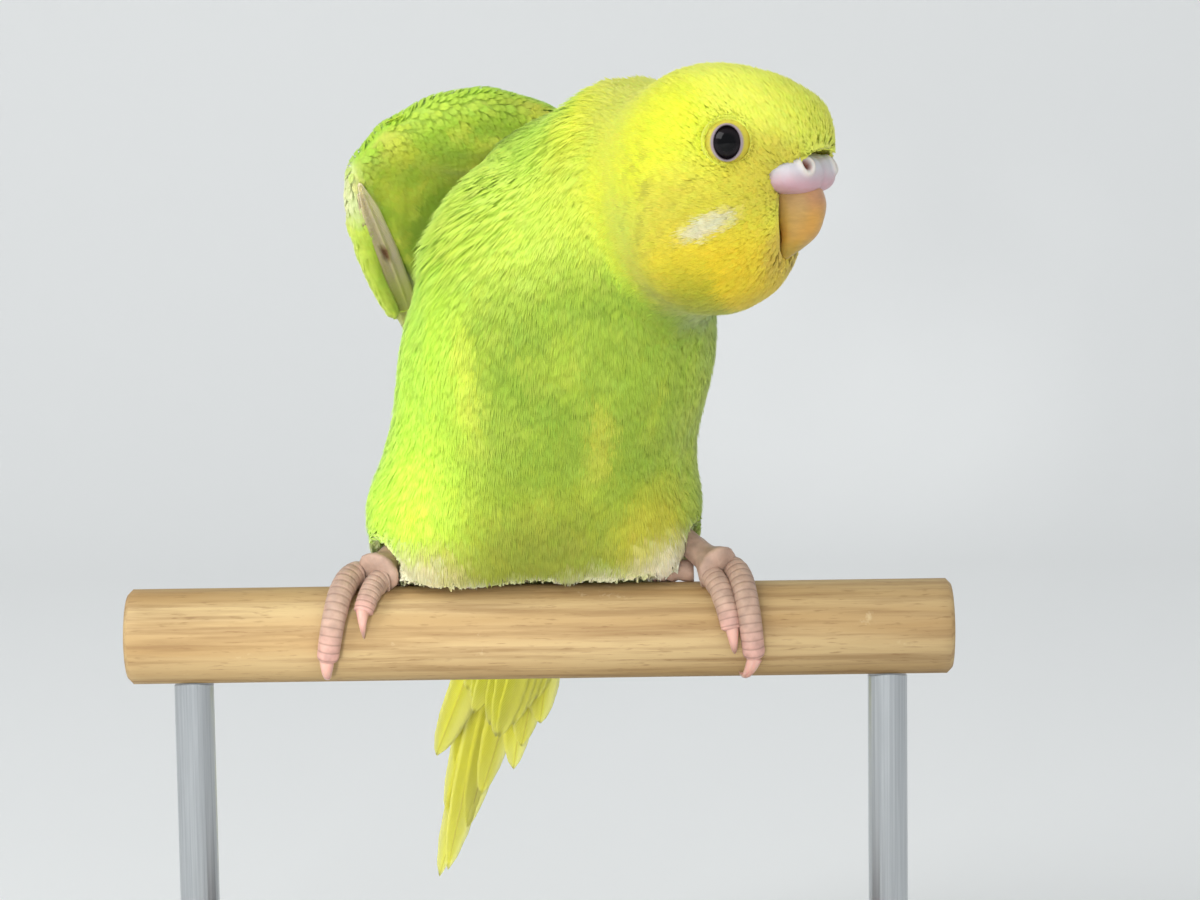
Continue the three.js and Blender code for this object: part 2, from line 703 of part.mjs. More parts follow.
function toe({ x, angle, radius, scutes }, grown = 0) {
  const points = [];
  const radii = [];
  const rings = scutes * 2;
  for (let i = 0; i <= rings; i++) {
    const t = i / rings;
    const slim = radius * (1 - 0.2 * t) * (i % 2 ? 1.05 : 0.94) * (i === rings ? 0.8 : 1);
    points.push(roundPerch(x[0] + (x[1] - x[0]) * Math.sqrt(t), angle[0] + (angle[1] - angle[0]) * t, radius));
    radii.push([slim + grown, slim + grown]);
  }
  const ahead = points[1].clone().sub(points[0]);
  const across = Math.abs(ahead.x) > ahead.length() * 0.8 ? UP : ACROSS;
  return tube(points, radii, across, 6);
}

function claw({ x, angle, radius }, grown = 0) {
  const steps = 4;
  const points = [];
  const radii = [];
  const size = radius * 0.66;
  const length = Math.hypot(x[2] - x[1], radians(angle[2] - angle[1]) * (PERCH_RADIUS + radius));
  const start = (1.4 * GAP) / length;
  for (let i = 0; i <= steps; i++) {
    const t = i / steps;
    const reach = start + (1 - start) * t;
    const lift = radius * (1 - 0.85 * t * t) + 0.5 * Math.sin(Math.PI * t);
    points.push(roundPerch(x[1] + (x[2] - x[1]) * reach, angle[1] + (angle[2] - angle[1]) * reach, lift));
    const slim = size * (1 - 0.85 * t) + grown;
    radii.push([slim, slim]);
  }
  const ahead = points[1].clone().sub(points[0]);
  const across = Math.abs(ahead.x) > ahead.length() * 0.8 ? UP : ACROSS;
  return tube(points, radii, across, 6);
}

// Each foot: two toes forward, two back. x and angle hold the toe's start, its end and the claw's tip.
const FEET = {
  right: {
    ankle: [-14.5, 9, 14],
    knuckle: [-19.8, -0.6, 8.7],
    toes: {
      inner_front: { x: [-19, -21.9, -21.8], angle: [16, 62, 86], radius: 1.5, scutes: 5 },
      outer_front: { x: [-22.4, -26.4, -26.5], angle: [6, 110, 134], radius: 1.65, scutes: 9 },
      inner_back: { x: [-18.4, -16.4, -15.2], angle: [-18, -52, -80], radius: 1.35, scutes: 4 },
      outer_back: { x: [-22, -25.5, -26.5], angle: [-22, -96, -122], radius: 1.5, scutes: 7 },
    },
  },
  left: {
    ankle: [14, 9, 14],
    knuckle: [21.9, -0.8, 8.8],
    toes: {
      inner_front: { x: [20.7, 24, 24.4], angle: [16, 84, 110], radius: 1.5, scutes: 6 },
      outer_front: { x: [24, 26.8, 25], angle: [6, 112, 141], radius: 1.65, scutes: 9 },
      inner_back: { x: [19.6, 14, 11.8], angle: [-14, -30, -48], radius: 1.35, scutes: 4 },
      outer_back: { x: [24, 27, 28], angle: [-22, -96, -122], radius: 1.5, scutes: 7 },
    },
  },
};

function tarsus({ ankle, knuckle }, grown = 0) {
  const [from, to] = [ankle, knuckle].map((p) => new THREE.Vector3(...p));
  const shape = [2.2, 1.75, 1.6, 1.75, 2.1];
  const points = shape.map((_, i) => from.clone().lerp(to, i / (shape.length - 1)));
  const shank = tube(points, shape.map((r) => [r + grown, r + grown]), ACROSS, 8);
  const pad = ellipsoid(to, [2.9 + grown, 2.6 + grown, 2.1 + grown], undefined, 12);
  return fuse([shank, pad]);
}

// Feathered thighs are marked off from the trunk by these ellipsoids
const THIGHS = {
  right: { at: new THREE.Vector3(-16, 5.5, 12.5), radii: [9, 11.5, 9.5] },
  left: { at: new THREE.Vector3(15, 6, 13), radii: [8.4, 11, 9.5] },
};

// Perch, rods and base
function cylinderAlong(axis, radius, length, sides) {
  const geometry = new THREE.CylinderGeometry(radius, radius, length, sides);
  geometry.applyQuaternion(new THREE.Quaternion().setFromUnitVectors(new THREE.Vector3(0, 1, 0), axis));
  return geometry;
}

function dowel(radius, length) {
  return solidOf(cylinderAlong(ACROSS, radius, length, 40));
}

function rod(x) {
  const foot = BASE_SIZE.height - PERCH_HEIGHT + GAP;
  const geometry = cylinderAlong(UP, ROD.radius, -foot, 24);
  geometry.translate(x, 0, foot / 2);
  return cutFrom(solidOf(geometry), dowel(PERCH_RADIUS + GAP, PERCH_LENGTH));
}

function base() {
  const { width, depth, height, corner, bevel } = BASE_SIZE;
  const [w, d] = [width / 2 - bevel, depth / 2 - bevel];
  const outline = new THREE.Shape();
  outline.moveTo(-w + corner, -d);
  outline.lineTo(w - corner, -d);
  outline.absarc(w - corner, -d + corner, corner, -Math.PI / 2, 0);
  outline.absarc(w - corner, d - corner, corner, 0, Math.PI / 2);
  outline.absarc(-w + corner, d - corner, corner, Math.PI / 2, Math.PI);
  outline.absarc(-w + corner, -d + corner, corner, Math.PI, 1.5 * Math.PI);
  const geometry = new THREE.ExtrudeGeometry(outline, {
    depth: height - 2 * bevel,
    bevelThickness: bevel,
    bevelSize: bevel,
    bevelSegments: 1,
    curveSegments: 5,
  });
  geometry.translate(0, 0, bevel - PERCH_HEIGHT);
  return solidOf(geometry);
}

// Assembly of the flesh: one whole, parted by thin cuts
const bodyLow = new THREE.Vector3(-34, -40, -8);
const bodyHigh = new THREE.Vector3(46, 38, 80);
const headLow = new THREE.Vector3(2, -42, 34);
const headHigh = new THREE.Vector3(44, 2, 78);
const perchRoom = dowel(PERCH_RADIUS + GAP, PERCH_LENGTH * 2);
const bodyWhole = flesh(bodyLow, bodyHigh, BODY_CELL);
const bodyRoom = flesh(bodyLow, bodyHigh, BODY_CELL, ROOM);
const neckCut = { point: new THREE.Vector3(9, -9, 50), normal: new THREE.Vector3(0.42, -0.42, 0.8) };
const headCut = { point: new THREE.Vector3(14.5, -14.5, 53), normal: new THREE.Vector3(0.72, -0.6, 0.34) };
const beyond = ({ point, normal }) => halfSpace(point, normal, GAP / 2);
const before = ({ point, normal }) => halfSpace(point, normal.clone().negate(), GAP / 2);

const eyes = { right: eyeAt(-1), left: eyeAt(1) };
const billUpper = bill(BILL_UPPER);
const billLower = bill(BILL_LOWER);
const cereSolid = cutFrom(cere(), bill(BILL_UPPER, GAP), nostril(-1), nostril(1));
const faceOpening = ellipsoid(headPoint(16.2, 0, 0), [5, 4.6, 2.9], headTurn, 12);
const headFlesh = flesh(headLow, headHigh, HEAD_CELL).intersect(beyond(headCut)).intersect(beyond(neckCut));
const headWhole = fuse([largestOf(headFlesh), eyes.right.lid, eyes.left.lid]);
const headSolid = cutFrom(
  headWhole,
  eyes.right.socket,
  eyes.left.socket,
  faceOpening,
  cere(GAP),
  bill(BILL_UPPER, GAP),
  bill(BILL_LOWER, GAP),
);
const neckSolid = largestOf(bodyWhole.intersect(beyond(neckCut)).intersect(before(headCut)));

const bird = new THREE.Group();
bird.position.z = PERCH_HEIGHT;
const footRoom = [perchRoom];
for (const foot of Object.values(FEET)) {
  footRoom.push(tarsus(foot, GAP));
  for (const shape of Object.values(foot.toes)) footRoom.push(toe(shape, ROOM), claw(shape, ROOM));
}
const bodyOverPerch = cutFrom(bodyWhole, ...footRoom);
const thighRooms = [];
for (const [side, { at, radii }] of Object.entries(THIGHS)) {
  const solid = largestOf(bodyOverPerch.intersect(ellipsoid(at, radii, undefined, 12)));
  thighRooms.push(ellipsoid(at, radii.map((radius) => radius + GAP), undefined, 12));
  bird.add(node("thigh_" + side, solid, PAINT.lime));
}
const trunk = cutFrom(bodyOverPerch.intersect(before(neckCut)), ...thighRooms);
bird.add(
  node("torso", trunk, PAINT.green),
  node("neck", neckSolid, PAINT.yellow),
  node("head", headSolid, PAINT.yellow),
  node("cere", cereSolid, PAINT.cere, SHORT_EDGE.fine),
  node("bill_upper", billUpper, PAINT.bill, SHORT_EDGE.fine),
  node("bill_lower", cutFrom(billLower, bill(BILL_UPPER, GAP)), PAINT.bill, SHORT_EDGE.fine),
  node("eye_right", eyes.right.ball, PAINT.eye, SHORT_EDGE.fine),
  node("eye_left", eyes.left.ball, PAINT.eye, SHORT_EDGE.fine),
  node("wing_right", cutFrom(wing(RIGHT_WING), bodyRoom), PAINT.lime, SHORT_EDGE.vanes),
  node("wing_left", cutFrom(wing(LEFT_WING), bodyRoom), PAINT.lime, SHORT_EDGE.vanes),
  node("tail", cutFrom(tail(), bodyRoom), PAINT.tail, SHORT_EDGE.vanes),
);

for (const [side, foot] of Object.entries(FEET)) {
  bird.add(node("tarsus_" + side, tarsus(foot), PAINT.skin));
  const taken = [tarsus(foot, GAP)];
  for (const [digit, shape] of Object.entries(foot.toes)) {
    bird.add(node(`toe_${side}_${digit}`, cutFrom(toe(shape), ...taken), PAINT.skin));
    bird.add(node(`claw_${side}_${digit}`, claw(shape), PAINT.claw));
    taken.push(toe(shape, GAP));
  }
}

bird.add(
  node("perch", dowel(PERCH_RADIUS, PERCH_LENGTH), PAINT.dowel),
  node("stand_rod_right", rod(-ROD.apart / 2), PAINT.steel),
  node("stand_rod_left", rod(ROD.apart / 2), PAINT.steel),
  node("stand_base", base(), PAINT.walnut),
);

const budgerigar = new THREE.Group();
budgerigar.add(bird);

export default budgerigar;
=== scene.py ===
import json
import math

import bmesh
import bpy
import numpy as np
from mathutils import Matrix, Vector, noise

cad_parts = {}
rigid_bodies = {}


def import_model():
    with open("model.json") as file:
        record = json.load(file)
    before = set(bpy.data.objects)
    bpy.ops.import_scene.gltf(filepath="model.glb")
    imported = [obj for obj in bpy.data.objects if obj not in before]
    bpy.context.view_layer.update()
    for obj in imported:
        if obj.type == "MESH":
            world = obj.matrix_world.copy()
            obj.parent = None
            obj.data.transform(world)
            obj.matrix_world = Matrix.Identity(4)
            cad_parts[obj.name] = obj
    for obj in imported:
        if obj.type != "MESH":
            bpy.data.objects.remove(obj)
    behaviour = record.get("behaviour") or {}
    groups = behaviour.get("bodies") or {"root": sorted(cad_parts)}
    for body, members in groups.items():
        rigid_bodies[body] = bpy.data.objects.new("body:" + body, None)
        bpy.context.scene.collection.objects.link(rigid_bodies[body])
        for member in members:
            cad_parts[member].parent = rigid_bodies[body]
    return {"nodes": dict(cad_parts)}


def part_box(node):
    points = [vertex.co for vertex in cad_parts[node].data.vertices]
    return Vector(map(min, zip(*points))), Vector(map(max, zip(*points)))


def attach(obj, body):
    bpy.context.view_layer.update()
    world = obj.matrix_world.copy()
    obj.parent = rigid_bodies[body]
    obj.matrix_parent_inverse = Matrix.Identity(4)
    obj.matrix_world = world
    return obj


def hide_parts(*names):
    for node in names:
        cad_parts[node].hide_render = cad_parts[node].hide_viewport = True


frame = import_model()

for name in ("Cube", "Light", "Camera"):
    if name in bpy.data.objects:
        bpy.data.objects.remove(bpy.data.objects[name])
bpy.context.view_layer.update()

# The perch: a short cut length of turned dowel, about 12 mm thick, bare and sanded, with sawn ends and
# a slight chamfer. The bird grips it, and the two rods of the stand carry it.
MM = 0.001
PERCH_HEIGHT = 66
PERCH = {"radius": 6, "length": 104, "chamfer": 0.6, "sides": 96, "stations": 40}


def linear(colour):
    """An sRGB hex colour as the linear values that the shaders work in."""
    channels = [int(colour[i : i + 2], 16) / 255 for i in (1, 3, 5)]
    return (*(c / 12.92 if c <= 0.04045 else ((c + 0.055) / 1.055) ** 2.4 for c in channels), 1.0)


def first_output(value):
    """A node's first live output, or the value as it is."""
    return next(s for s in value.outputs if s.enabled) if isinstance(value, bpy.types.Node) else value


def add(tree, kind, inputs=(), **settings):
    """Adds one node of a kind, which its operation may follow, with its settings. Its inputs are linked or
    set by name or number, or in their order."""
    kind, *operation = kind.split()
    families = ("ShaderNode", "GeometryNode", "FunctionNode", "Node")
    node = tree.nodes.new(next(f + kind for f in families if hasattr(bpy.types, f + kind)))
    for key, value in (*settings.items(), *(("operation", name) for name in operation)):
        setattr(node, key, value)
    for key, value in (inputs if isinstance(inputs, dict) else dict(enumerate(inputs))).items():
        named = [s for s in node.inputs if s.enabled and s.name == key]
        socket, value = node.inputs[key] if isinstance(key, int) else named[0], first_output(value)
        if isinstance(value, bpy.types.NodeSocket):
            tree.links.new(value, socket)
        else:
            socket.default_value = value
    return node


def finish_named(name, roughness, **constant):
    """A new material with its constant values on the shader's own sockets, and its tree and shader."""
    material = bpy.data.materials.new(name)
    material.use_nodes = True
    shader = material.node_tree.nodes["Principled BSDF"]
    shader.inputs["Roughness"].default_value = roughness
    for key, value in constant.items():
        shader.inputs[key.replace("_", " ")].default_value = value
    return material, material.node_tree, shader


def dress(tree, shader, colour, height=None, strength=0.0, depth=0.0):
    """Links the shader's colour, and any relief, with its strength and its depth in millimetres."""
    tree.links.new(first_output(colour), shader.inputs["Base Color"])
    if height is not None:
        bump = add(tree, "Bump", {"Strength": strength, "Distance": depth * MM, "Height": height})
        tree.links.new(bump.outputs["Normal"], shader.inputs["Normal"])


def grained(name, roughness, base, layers, strength=0.0, depth=0.0, **constant):
    """A material of layers of drawn-out noise over a base colour. A layer has its waves per metre along x, y
    and z, its detail, roughness and distortion, the noise at which it starts and is full, how much it then
    covers, its colour, and whether it is in relief too."""
    material, tree, shader = finish_named(name, roughness, **constant)
    place = add(tree, "TexCoord").outputs["Object"]
    tone, relief = linear(base), None
    for waves, (detail, rough, distortion), (start, full, most), colour, raised in layers:
        drawn = add(tree, "Mapping", {"Vector": place, "Scale": waves})
        kind = {"Detail": detail, "Roughness": rough, "Distortion": distortion}
        grain = add(tree, "TexNoise", {"Vector": drawn, "Scale": 1.0, **kind})
        share = add(tree, "MapRange", {"Value": grain, "From Min": start, "From Max": full, "To Max": most})
        tone = add(tree, "Mix", {"Factor": share, "A": tone, "B": linear(colour)}, data_type="RGBA")
        if raised:
            relief = grain if relief is None else add(tree, "Math ADD", (relief, grain))
    dress(tree, shader, tone, relief, strength, depth)
    return material


def in_frame(points):
    """Millimetres from the middle of the perch, as metres in the frame."""
    return (np.asarray(points, float) + (0, 0, PERCH_HEIGHT)) * MM


def ring_faces(rings, sides, closed=False):
    """Quads between rings of points, with the two ends fanned to their own middle points."""
    faces = []
    for i in range(rings - 1 + closed):
        for k in range(sides):
            a, b = i * sides, ((i + 1) % rings) * sides
            faces.append((a + k, a + (k + 1) % sides, b + (k + 1) % sides, b + k))
    if not closed:
        end = (rings - 1) * sides
        for k in range(sides):
            faces.append((rings * sides, (k + 1) % sides, k))
            faces.append((rings * sides + 1, end + k, end + (k + 1) % sides))
    return faces


def linked(name, data):
    """A new object of the scene, at the origin."""
    made = bpy.data.objects.new(name, data)
    bpy.context.collection.objects.link(made)
    return made


def piece_from(name, points, faces, material):
    """A smooth-shaded piece from points in millimetres, with all faces turned outwards."""
    mesh = bpy.data.meshes.new(name)
    mesh.from_pydata([tuple(p) for p in in_frame(points)], [], faces)
    shape = bmesh.new()
    shape.from_mesh(mesh)
    bmesh.ops.recalc_face_normals(shape, faces=shape.faces)
    shape.to_mesh(mesh)
    shape.free()
    mesh.materials.append(material)
    mesh.shade_smooth()
    return linked(name, mesh)


# Broad pale bands, darker lines of the grain, open pores, and paler scuffs from sanding
dowel = grained("Sanded ramin dowel", 0.62, "#c0a678", (
    ((14, 210, 210), (3, 0.5, 0), (0.38, 0.66, 1), "#a98859", False),
    ((38, 900, 900), (5, 0.6, 0), (0.47, 0.66, 0.62), "#8c6c47", True),
    ((420, 3200, 3200), (2, 0.5, 0), (0.6, 0.75, 0.55), "#80603d", True),
    ((260, 260, 260), (4, 0.7, 0), (0.66, 0.78, 0.5), "#d9c7a0", False),
), 0.35, 0.12, Specular_IOR_Level=0.35)
half, radius, chamfer = PERCH["length"] / 2, PERCH["radius"], PERCH["chamfer"]
stations = [(x, radius) for x in np.linspace(-half + 2, half - 2, PERCH["stations"])]
stations = [(-half, radius - chamfer), (-half + chamfer, radius), *stations]
stations += [(half - chamfer, radius), (half, radius - chamfer)]
turn = np.linspace(0, 2 * math.pi, PERCH["sides"], endpoint=False)
points = [(x, r * math.cos(a), r * math.sin(a)) for x, r in stations for a in turn]
points += [(-half, 0, 0), (half, 0, 0)]
perch = piece_from("perch_dowel", points, ring_faces(len(stations), PERCH["sides"]), dowel)
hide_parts("perch")
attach(perch, "root")

# The stand: a plain oiled walnut board with rounded corners, lying flat, and two brushed steel rods pressed
# into it that carry the dowel near its ends.
BASE = {
    "width": 118, "depth": 98, "height": 7,
    "corner": 16, "corner_steps": 9, "bevel": 1.2, "bevel_steps": 5,
}


def base_ring(inset, height):
    """The board's outline with rounded corners, drawn in by an inset at a height over the floor."""
    corner, steps = BASE["corner"] - inset, BASE["corner_steps"]
    across, back = BASE["width"] / 2 - BASE["corner"], BASE["depth"] / 2 - BASE["corner"]
    ring = []
    for quarter, (x, y) in enumerate([(across, back), (-across, back), (-across, -back), (across, -back)]):
        for step in range(steps):
            angle = math.pi / 2 * (quarter + step / (steps - 1))
            ring.append((x + corner * math.cos(angle), y + corner * math.sin(angle), height - PERCH_HEIGHT))
    return ring


# Walnut's dark figure runs along the board, and the oil leaves it with a soft gloss
figure = ((16, 260, 260), (6, 0.62, 0.6), (0.34, 0.68, 1), "#38251a", True)
walnut = grained("Oiled walnut", 0.42, "#6b4a33", [figure], 0.2, 0.1, Coat_Weight=0.12)
bend = np.linspace(0, math.pi / 2, BASE["bevel_steps"])
edge = [(BASE["bevel"] * (1 - math.sin(t)), BASE["bevel"] * (1 - math.cos(t))) for t in bend]
profile = edge + [(inset, BASE["height"] - rise) for inset, rise in edge[::-1]]
points = [p for inset, height in profile for p in base_ring(inset, height)]
points += [(0, 0, -PERCH_HEIGHT), (0, 0, BASE["height"] - PERCH_HEIGHT)]
board = piece_from("stand_base_board", points, ring_faces(len(profile), 4 * BASE["corner_steps"]), walnut)
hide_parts("stand_base")
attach(board, "root")

# Fine marks of the brushing run round the rods
brushing = ((4000, 4000, 60), (2, 0.5, 0), (0, 1, 1), "#d3d6d8", False)
steel = grained("Brushed steel", 0.28, "#a9adb1", [brushing], Metallic=1.0)
for name in ("stand_rod_right", "stand_rod_left"):
    frame["nodes"][name].data.materials.clear()
    frame["nodes"][name].data.materials.append(steel)

# The feet: two toes forward and two back, as parrots have them, in grey-pink skin. Broad scutes lie across
# the top of each toe like slates, soft pads grip the wood, and the shank is covered in small round scales.
FEET = {
    "right": {"ankle": (-14.5, 9, 14), "knuckle": (-19.8, -0.6, 8.7)},
    "left": {"ankle": (14, 9, 14), "knuckle": (21.9, -0.8, 8.8)},
}
# A toe's places along the dowel at its root, its end and its claw's tip, the angles there from the dowel's
# top towards the front, its radius, and how many scutes it has
TOES = {
    "right": {
        "inner_front": ((-19, -21.9, -21.8), (16, 62, 86), 1.5, 9),
        "outer_front": ((-22.4, -26.4, -26.5), (6, 110, 134), 1.65, 15),
        "inner_back": ((-18.4, -16.4, -15.2), (-18, -52, -80), 1.35, 7),
        "outer_back": ((-22, -25.5, -26.5), (-22, -96, -122), 1.5, 12),
    },
    "left": {
        "inner_front": ((20.7, 24, 24.4), (16, 84, 110), 1.5, 11),
        "outer_front": ((24, 26.8, 25), (6, 112, 141), 1.65, 15),
        "inner_back": ((19.6, 14, 11.8), (-14, -30, -48), 1.35, 7),
        "outer_back": ((24, 27, 28), (-22, -96, -122), 1.5, 12),
    },
}
TOE = {"sides": 20, "rings_per_scute": 7, "pads": 4, "taper": 0.14}
CLAW = {"sides": 14, "rings": 18, "arch": 0.62}
SHANK = {"sides": 24, "rings": 40, "radius": 1.65, "past_knuckle": 1.12}
FOOT_TONE = "#b39684"


def tinted(name, roughness, waves=None, detail=4, distortion=0, shade=None, strength=0, depth=0, **constant):
    """A material in each point's own tint. A noise of so many waves per metre shades it between two shares,
    and stands in relief by a depth in millimetres."""
    material, tree, shader = finish_named(name, roughness, **constant)
    colour, grain = add(tree, "Attribute", attribute_name="tint"), None
    if waves:
        drawn = add(tree, "Mapping", {"Vector": add(tree, "TexCoord").outputs["Object"], "Scale": waves})
        kind = {"Detail": detail, "Distortion": distortion}
        grain = add(tree, "TexNoise", {"Vector": drawn, "Scale": 1.0, **kind})
    if shade:
        ends = {"From Min": 0.3, "From Max": 0.7, "To Min": shade[0], "To Max": shade[1]}
        share = add(tree, "MapRange", {"Value": grain, **ends})
        colour = add(tree, "VectorMath SCALE", {0: colour, "Scale": share})
    dress(tree, shader, colour, grain if strength else None, strength, depth)
    return material, tree, shader


# Dry skin in small scales, blotched darker and paler, and claws of smooth horn that lets a little light in
scutes, tree, shader = tinted(
    "Scuted foot skin", 0.52, (700, 700, 700), shade=(0.8, 1.15), Specular_IOR_Level=0.4,
    Subsurface_Weight=0.12, Subsurface_Scale=0.0012, Subsurface_Radius=(1.0, 0.45, 0.3),
)
scales = add(tree, "TexVoronoi", {"Vector": add(tree, "TexCoord").outputs["Object"], "Scale": 2600.0})
bump = add(tree, "Bump", {"Strength": 0.3, "Distance": 0.06 * MM, "Height": scales})
tree.links.new(bump.outputs["Normal"], shader.inputs["Normal"])
claw_horn = tinted("Claw horn", 0.3, Specular_IOR_Level=0.5, Subsurface_Weight=0.2, Subsurface_Scale=0.001)[0]


def round_perch(x, angle, above):
    """A point beside the dowel, at an angle from its top towards the front, so far above the wood."""
    reach = PERCH["radius"] + 0.12 + above
    return np.array((x, -reach * math.sin(math.radians(angle)), reach * math.cos(math.radians(angle))))


def part_way(ends, share):
    """A value part way from the first of two ends to the second."""
    return ends[0] + (ends[1] - ends[0]) * share


def rings_along(path, sides, reach):
    """Rings of points round a path. reach(ring, angle) is how far out they lie, with 90 degrees up."""
    rings = []
    for i, middle in enumerate(path):
        along = path[min(i + 1, len(path) - 1)] - path[max(i - 1, 0)]
        along = along / np.linalg.norm(along)
        out = middle * (0, 1, 1)
        out = out - along * out.dot(along)
        out = out / np.linalg.norm(out)
        side = np.cross(along, out)
        for k in range(sides):
            angle = 2 * math.pi * k / sides
            rings.append(middle + (side * math.cos(angle) + out * math.sin(angle)) * reach(i, angle))
    return rings + [path[0], path[-1]]


def paint(piece, colours):
    """Keeps a colour for each point of the piece, as its material reads it."""
    layer = piece.data.attributes.new("tint", "FLOAT_COLOR", "POINT")
    layer.data.foreach_set("color", np.asarray(colours, np.float32).ravel())


def between(low, high, value):
    """A smooth step from 0 at low to 1 at high."""
    t = np.clip((np.asarray(value, float) - low) / (high - low), 0, 1)
    return t * t * (3 - 2 * t)


def mixed(first, second, share):
    """Colours part way from the first to the second, by a share for each point. Both may be hex colours."""
    first, second = (np.asarray(linear(c) if isinstance(c, str) else c) for c in (first, second))
    share = np.asarray(share, float)[..., None]
    return first * (1 - share) + second * share


for side, foot in FEET.items():
    for name, (x, angle, radius, scale_count) in TOES[side].items():
        rings = scale_count * TOE["rings_per_scute"] + 1
        t = np.linspace(0, 1, rings)
        lift = radius * (1 - TOE["taper"] * t)
        path = [round_perch(part_way(x, math.sqrt(s)), part_way(angle, s), h) for s, h in zip(t, lift)]
        groove = np.abs(2 * ((t * scale_count) % 1) - 1) ** 6

        def toe_reach(i, turn):
            slim = radius * (1.02 - 0.2 * t[i]) * (1 - 0.55 * between(0.93, 1.0, t[i]))
            slate = max(0.0, math.sin(turn) + 0.35) * (0.02 - 0.06 * groove[i])
            pad = max(0.0, -math.sin(turn)) * 0.1 * math.cos(2 * math.pi * TOE["pads"] * t[i])
            return slim * (1 + slate + pad)

        points = rings_along(path, TOE["sides"], toe_reach)
        made = piece_from(f"toe_skin_{side}_{name}", points, ring_faces(rings, TOE["sides"]), scutes)
        top = between(-0.3, 0.5, np.sin(2 * math.pi * np.arange(TOE["sides"]) / TOE["sides"]))
        tone = mixed(FOOT_TONE, "#cc9f93", between(0.55, 1.0, t)[:, None] * np.ones(TOE["sides"]))
        # Painted shade: the grooves between the scutes on top of the toe are painted darker
        tone = mixed(tone, "#86695a", groove[:, None] ** 1.5 * top * 0.6).reshape(-1, 4)
        paint(made, np.vstack([tone, tone[0], tone[-1]]))
        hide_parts(f"toe_{side}_{name}")
        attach(made, "root")

        t = np.linspace(0, 1, CLAW["rings"])
        lift = radius * (0.92 - 0.86 * t * t) + CLAW["arch"] * np.sin(math.pi * t)
        turned = part_way(angle[1:], t * 1.02) - 3 * (1 - t) * np.sign(angle[1])
        path = [round_perch(part_way(x[1:], s), a, h) for s, a, h in zip(t, turned, lift)]

        def claw_reach(i, turn):
            return radius * 0.56 * (1 - 0.93 * t[i] ** 1.1) * (1 + 0.16 * abs(math.sin(turn)))

        points = rings_along(path, CLAW["sides"], claw_reach)
        faces = ring_faces(CLAW["rings"], CLAW["sides"])
        made = piece_from(f"claw_horn_{side}_{name}", points, faces, claw_horn)
        tone = mixed("#d3a596", "#a98a80", between(0.4, 1.0, np.repeat(t, CLAW["sides"])))
        paint(made, np.vstack([tone, tone[0], tone[-1]]))
        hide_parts(f"claw_{side}_{name}")
        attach(made, "root")

    ankle, knuckle = (np.array(foot[key], float) for key in ("ankle", "knuckle"))
    t = np.linspace(0, 1, SHANK["rings"])
    thick = SHANK["radius"] + 0.75 * (2 * t - 1) ** 4 + 0.75 * between(0.78, 0.98, t)
    thick = thick - 1.2 * between(0.95, 1.0, t) ** 2
    path = [ankle + (knuckle + (0, -0.6, -0.2) - ankle) * s * SHANK["past_knuckle"] for s in t]

    def shank_reach(i, turn):
        return thick[i] * (1 + 0.02 * math.sin(9 * turn + 40 * t[i]))

    points = rings_along(path, SHANK["sides"], shank_reach)
    made = piece_from(f"shank_skin_{side}", points, ring_faces(SHANK["rings"], SHANK["sides"]), scutes)
    paint(made, np.tile(linear(FOOT_TONE), (len(points), 1)))
    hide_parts(f"tarsus_{side}")
    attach(made, "root")

# The skin: one hide over the head, neck, body and thighs, without a seam, lying under the plumage. It is
# pink-grey bare skin round the eyes and legs, and elsewhere only shows the colour of the feathers above it.
FLESH_NODES = ("head", "neck", "torso", "thigh_right", "thigh_left")
HEAD = {"centre": np.array((21.7, -19.5, 57.3)), "yaw": 62}
NECK = {"middle": np.array((14.5, -14.5, 53)), "way": np.array((0.72, -0.6, 0.34)) / 0.997}
COAT_DEPTH = {"head": 0.75, "body": 1.35}
# The flesh parts are grown a little so that they meet, and drawn in again once they are one
OVERLAP = 0.3
CERE = {"forward": 11.2, "up": 0.4, "radii": (3.3, 6.3, 2.45)}
head_forward = np.array((math.sin(math.radians(HEAD["yaw"])), -math.cos(math.radians(HEAD["yaw"])), 0))
head_left = np.array((-head_forward[1], head_forward[0], 0))


def head_point(forward, left, up):
    """A point by its distance forward, left and up from the middle of the head."""
    return HEAD["centre"] + head_forward * forward + head_left * left + np.array((0, 0, up))


def on_head(points):
    """Points as their distances forward, left and up from the middle of the head."""
    off = points - HEAD["centre"]
    return np.column_stack([off @ head_forward, off @ head_left, off[:, 2]])


def in_cere(points, margin):
    """1 inside the cere grown by a margin, falling to 0 just outside it."""
    away = (on_head(points) - (CERE["forward"], 0, CERE["up"])) / (np.array(CERE["radii"]) + margin)
    return between(1.1, 0.95, np.linalg.norm(away, axis=1))


def mouth_depth(points):
    """How far points stand forward of the flat of the face, where the cere and bill are set in, and how much
    of that flat they have."""
    forward, left, up = on_head(points).T
    flat = 10.3 + 3.9 * between(0.9, 1.6, up) + 3.0 * between(2.0, 3.6, up)
    return forward - flat, between(-8.8, -7.6, up)


def surface(piece):
    """The points of a piece, in millimetres from the middle of the perch, and their normals."""
    columns = []
    for values, field in ((piece.data.vertices, "co"), (piece.data.vertex_normals, "vector")):
        column = np.empty(len(values) * 3, np.float32)
        values.foreach_get(field, column)
        columns.append(column.reshape(-1, 3).astype(float))
    return columns[0] / MM - (0, 0, PERCH_HEIGHT), columns[1]


def move(piece, points):
    """Moves the points of a piece to places in millimetres."""
    piece.data.vertices.foreach_set("co", in_frame(points).astype(np.float32).ravel())
    piece.data.update()


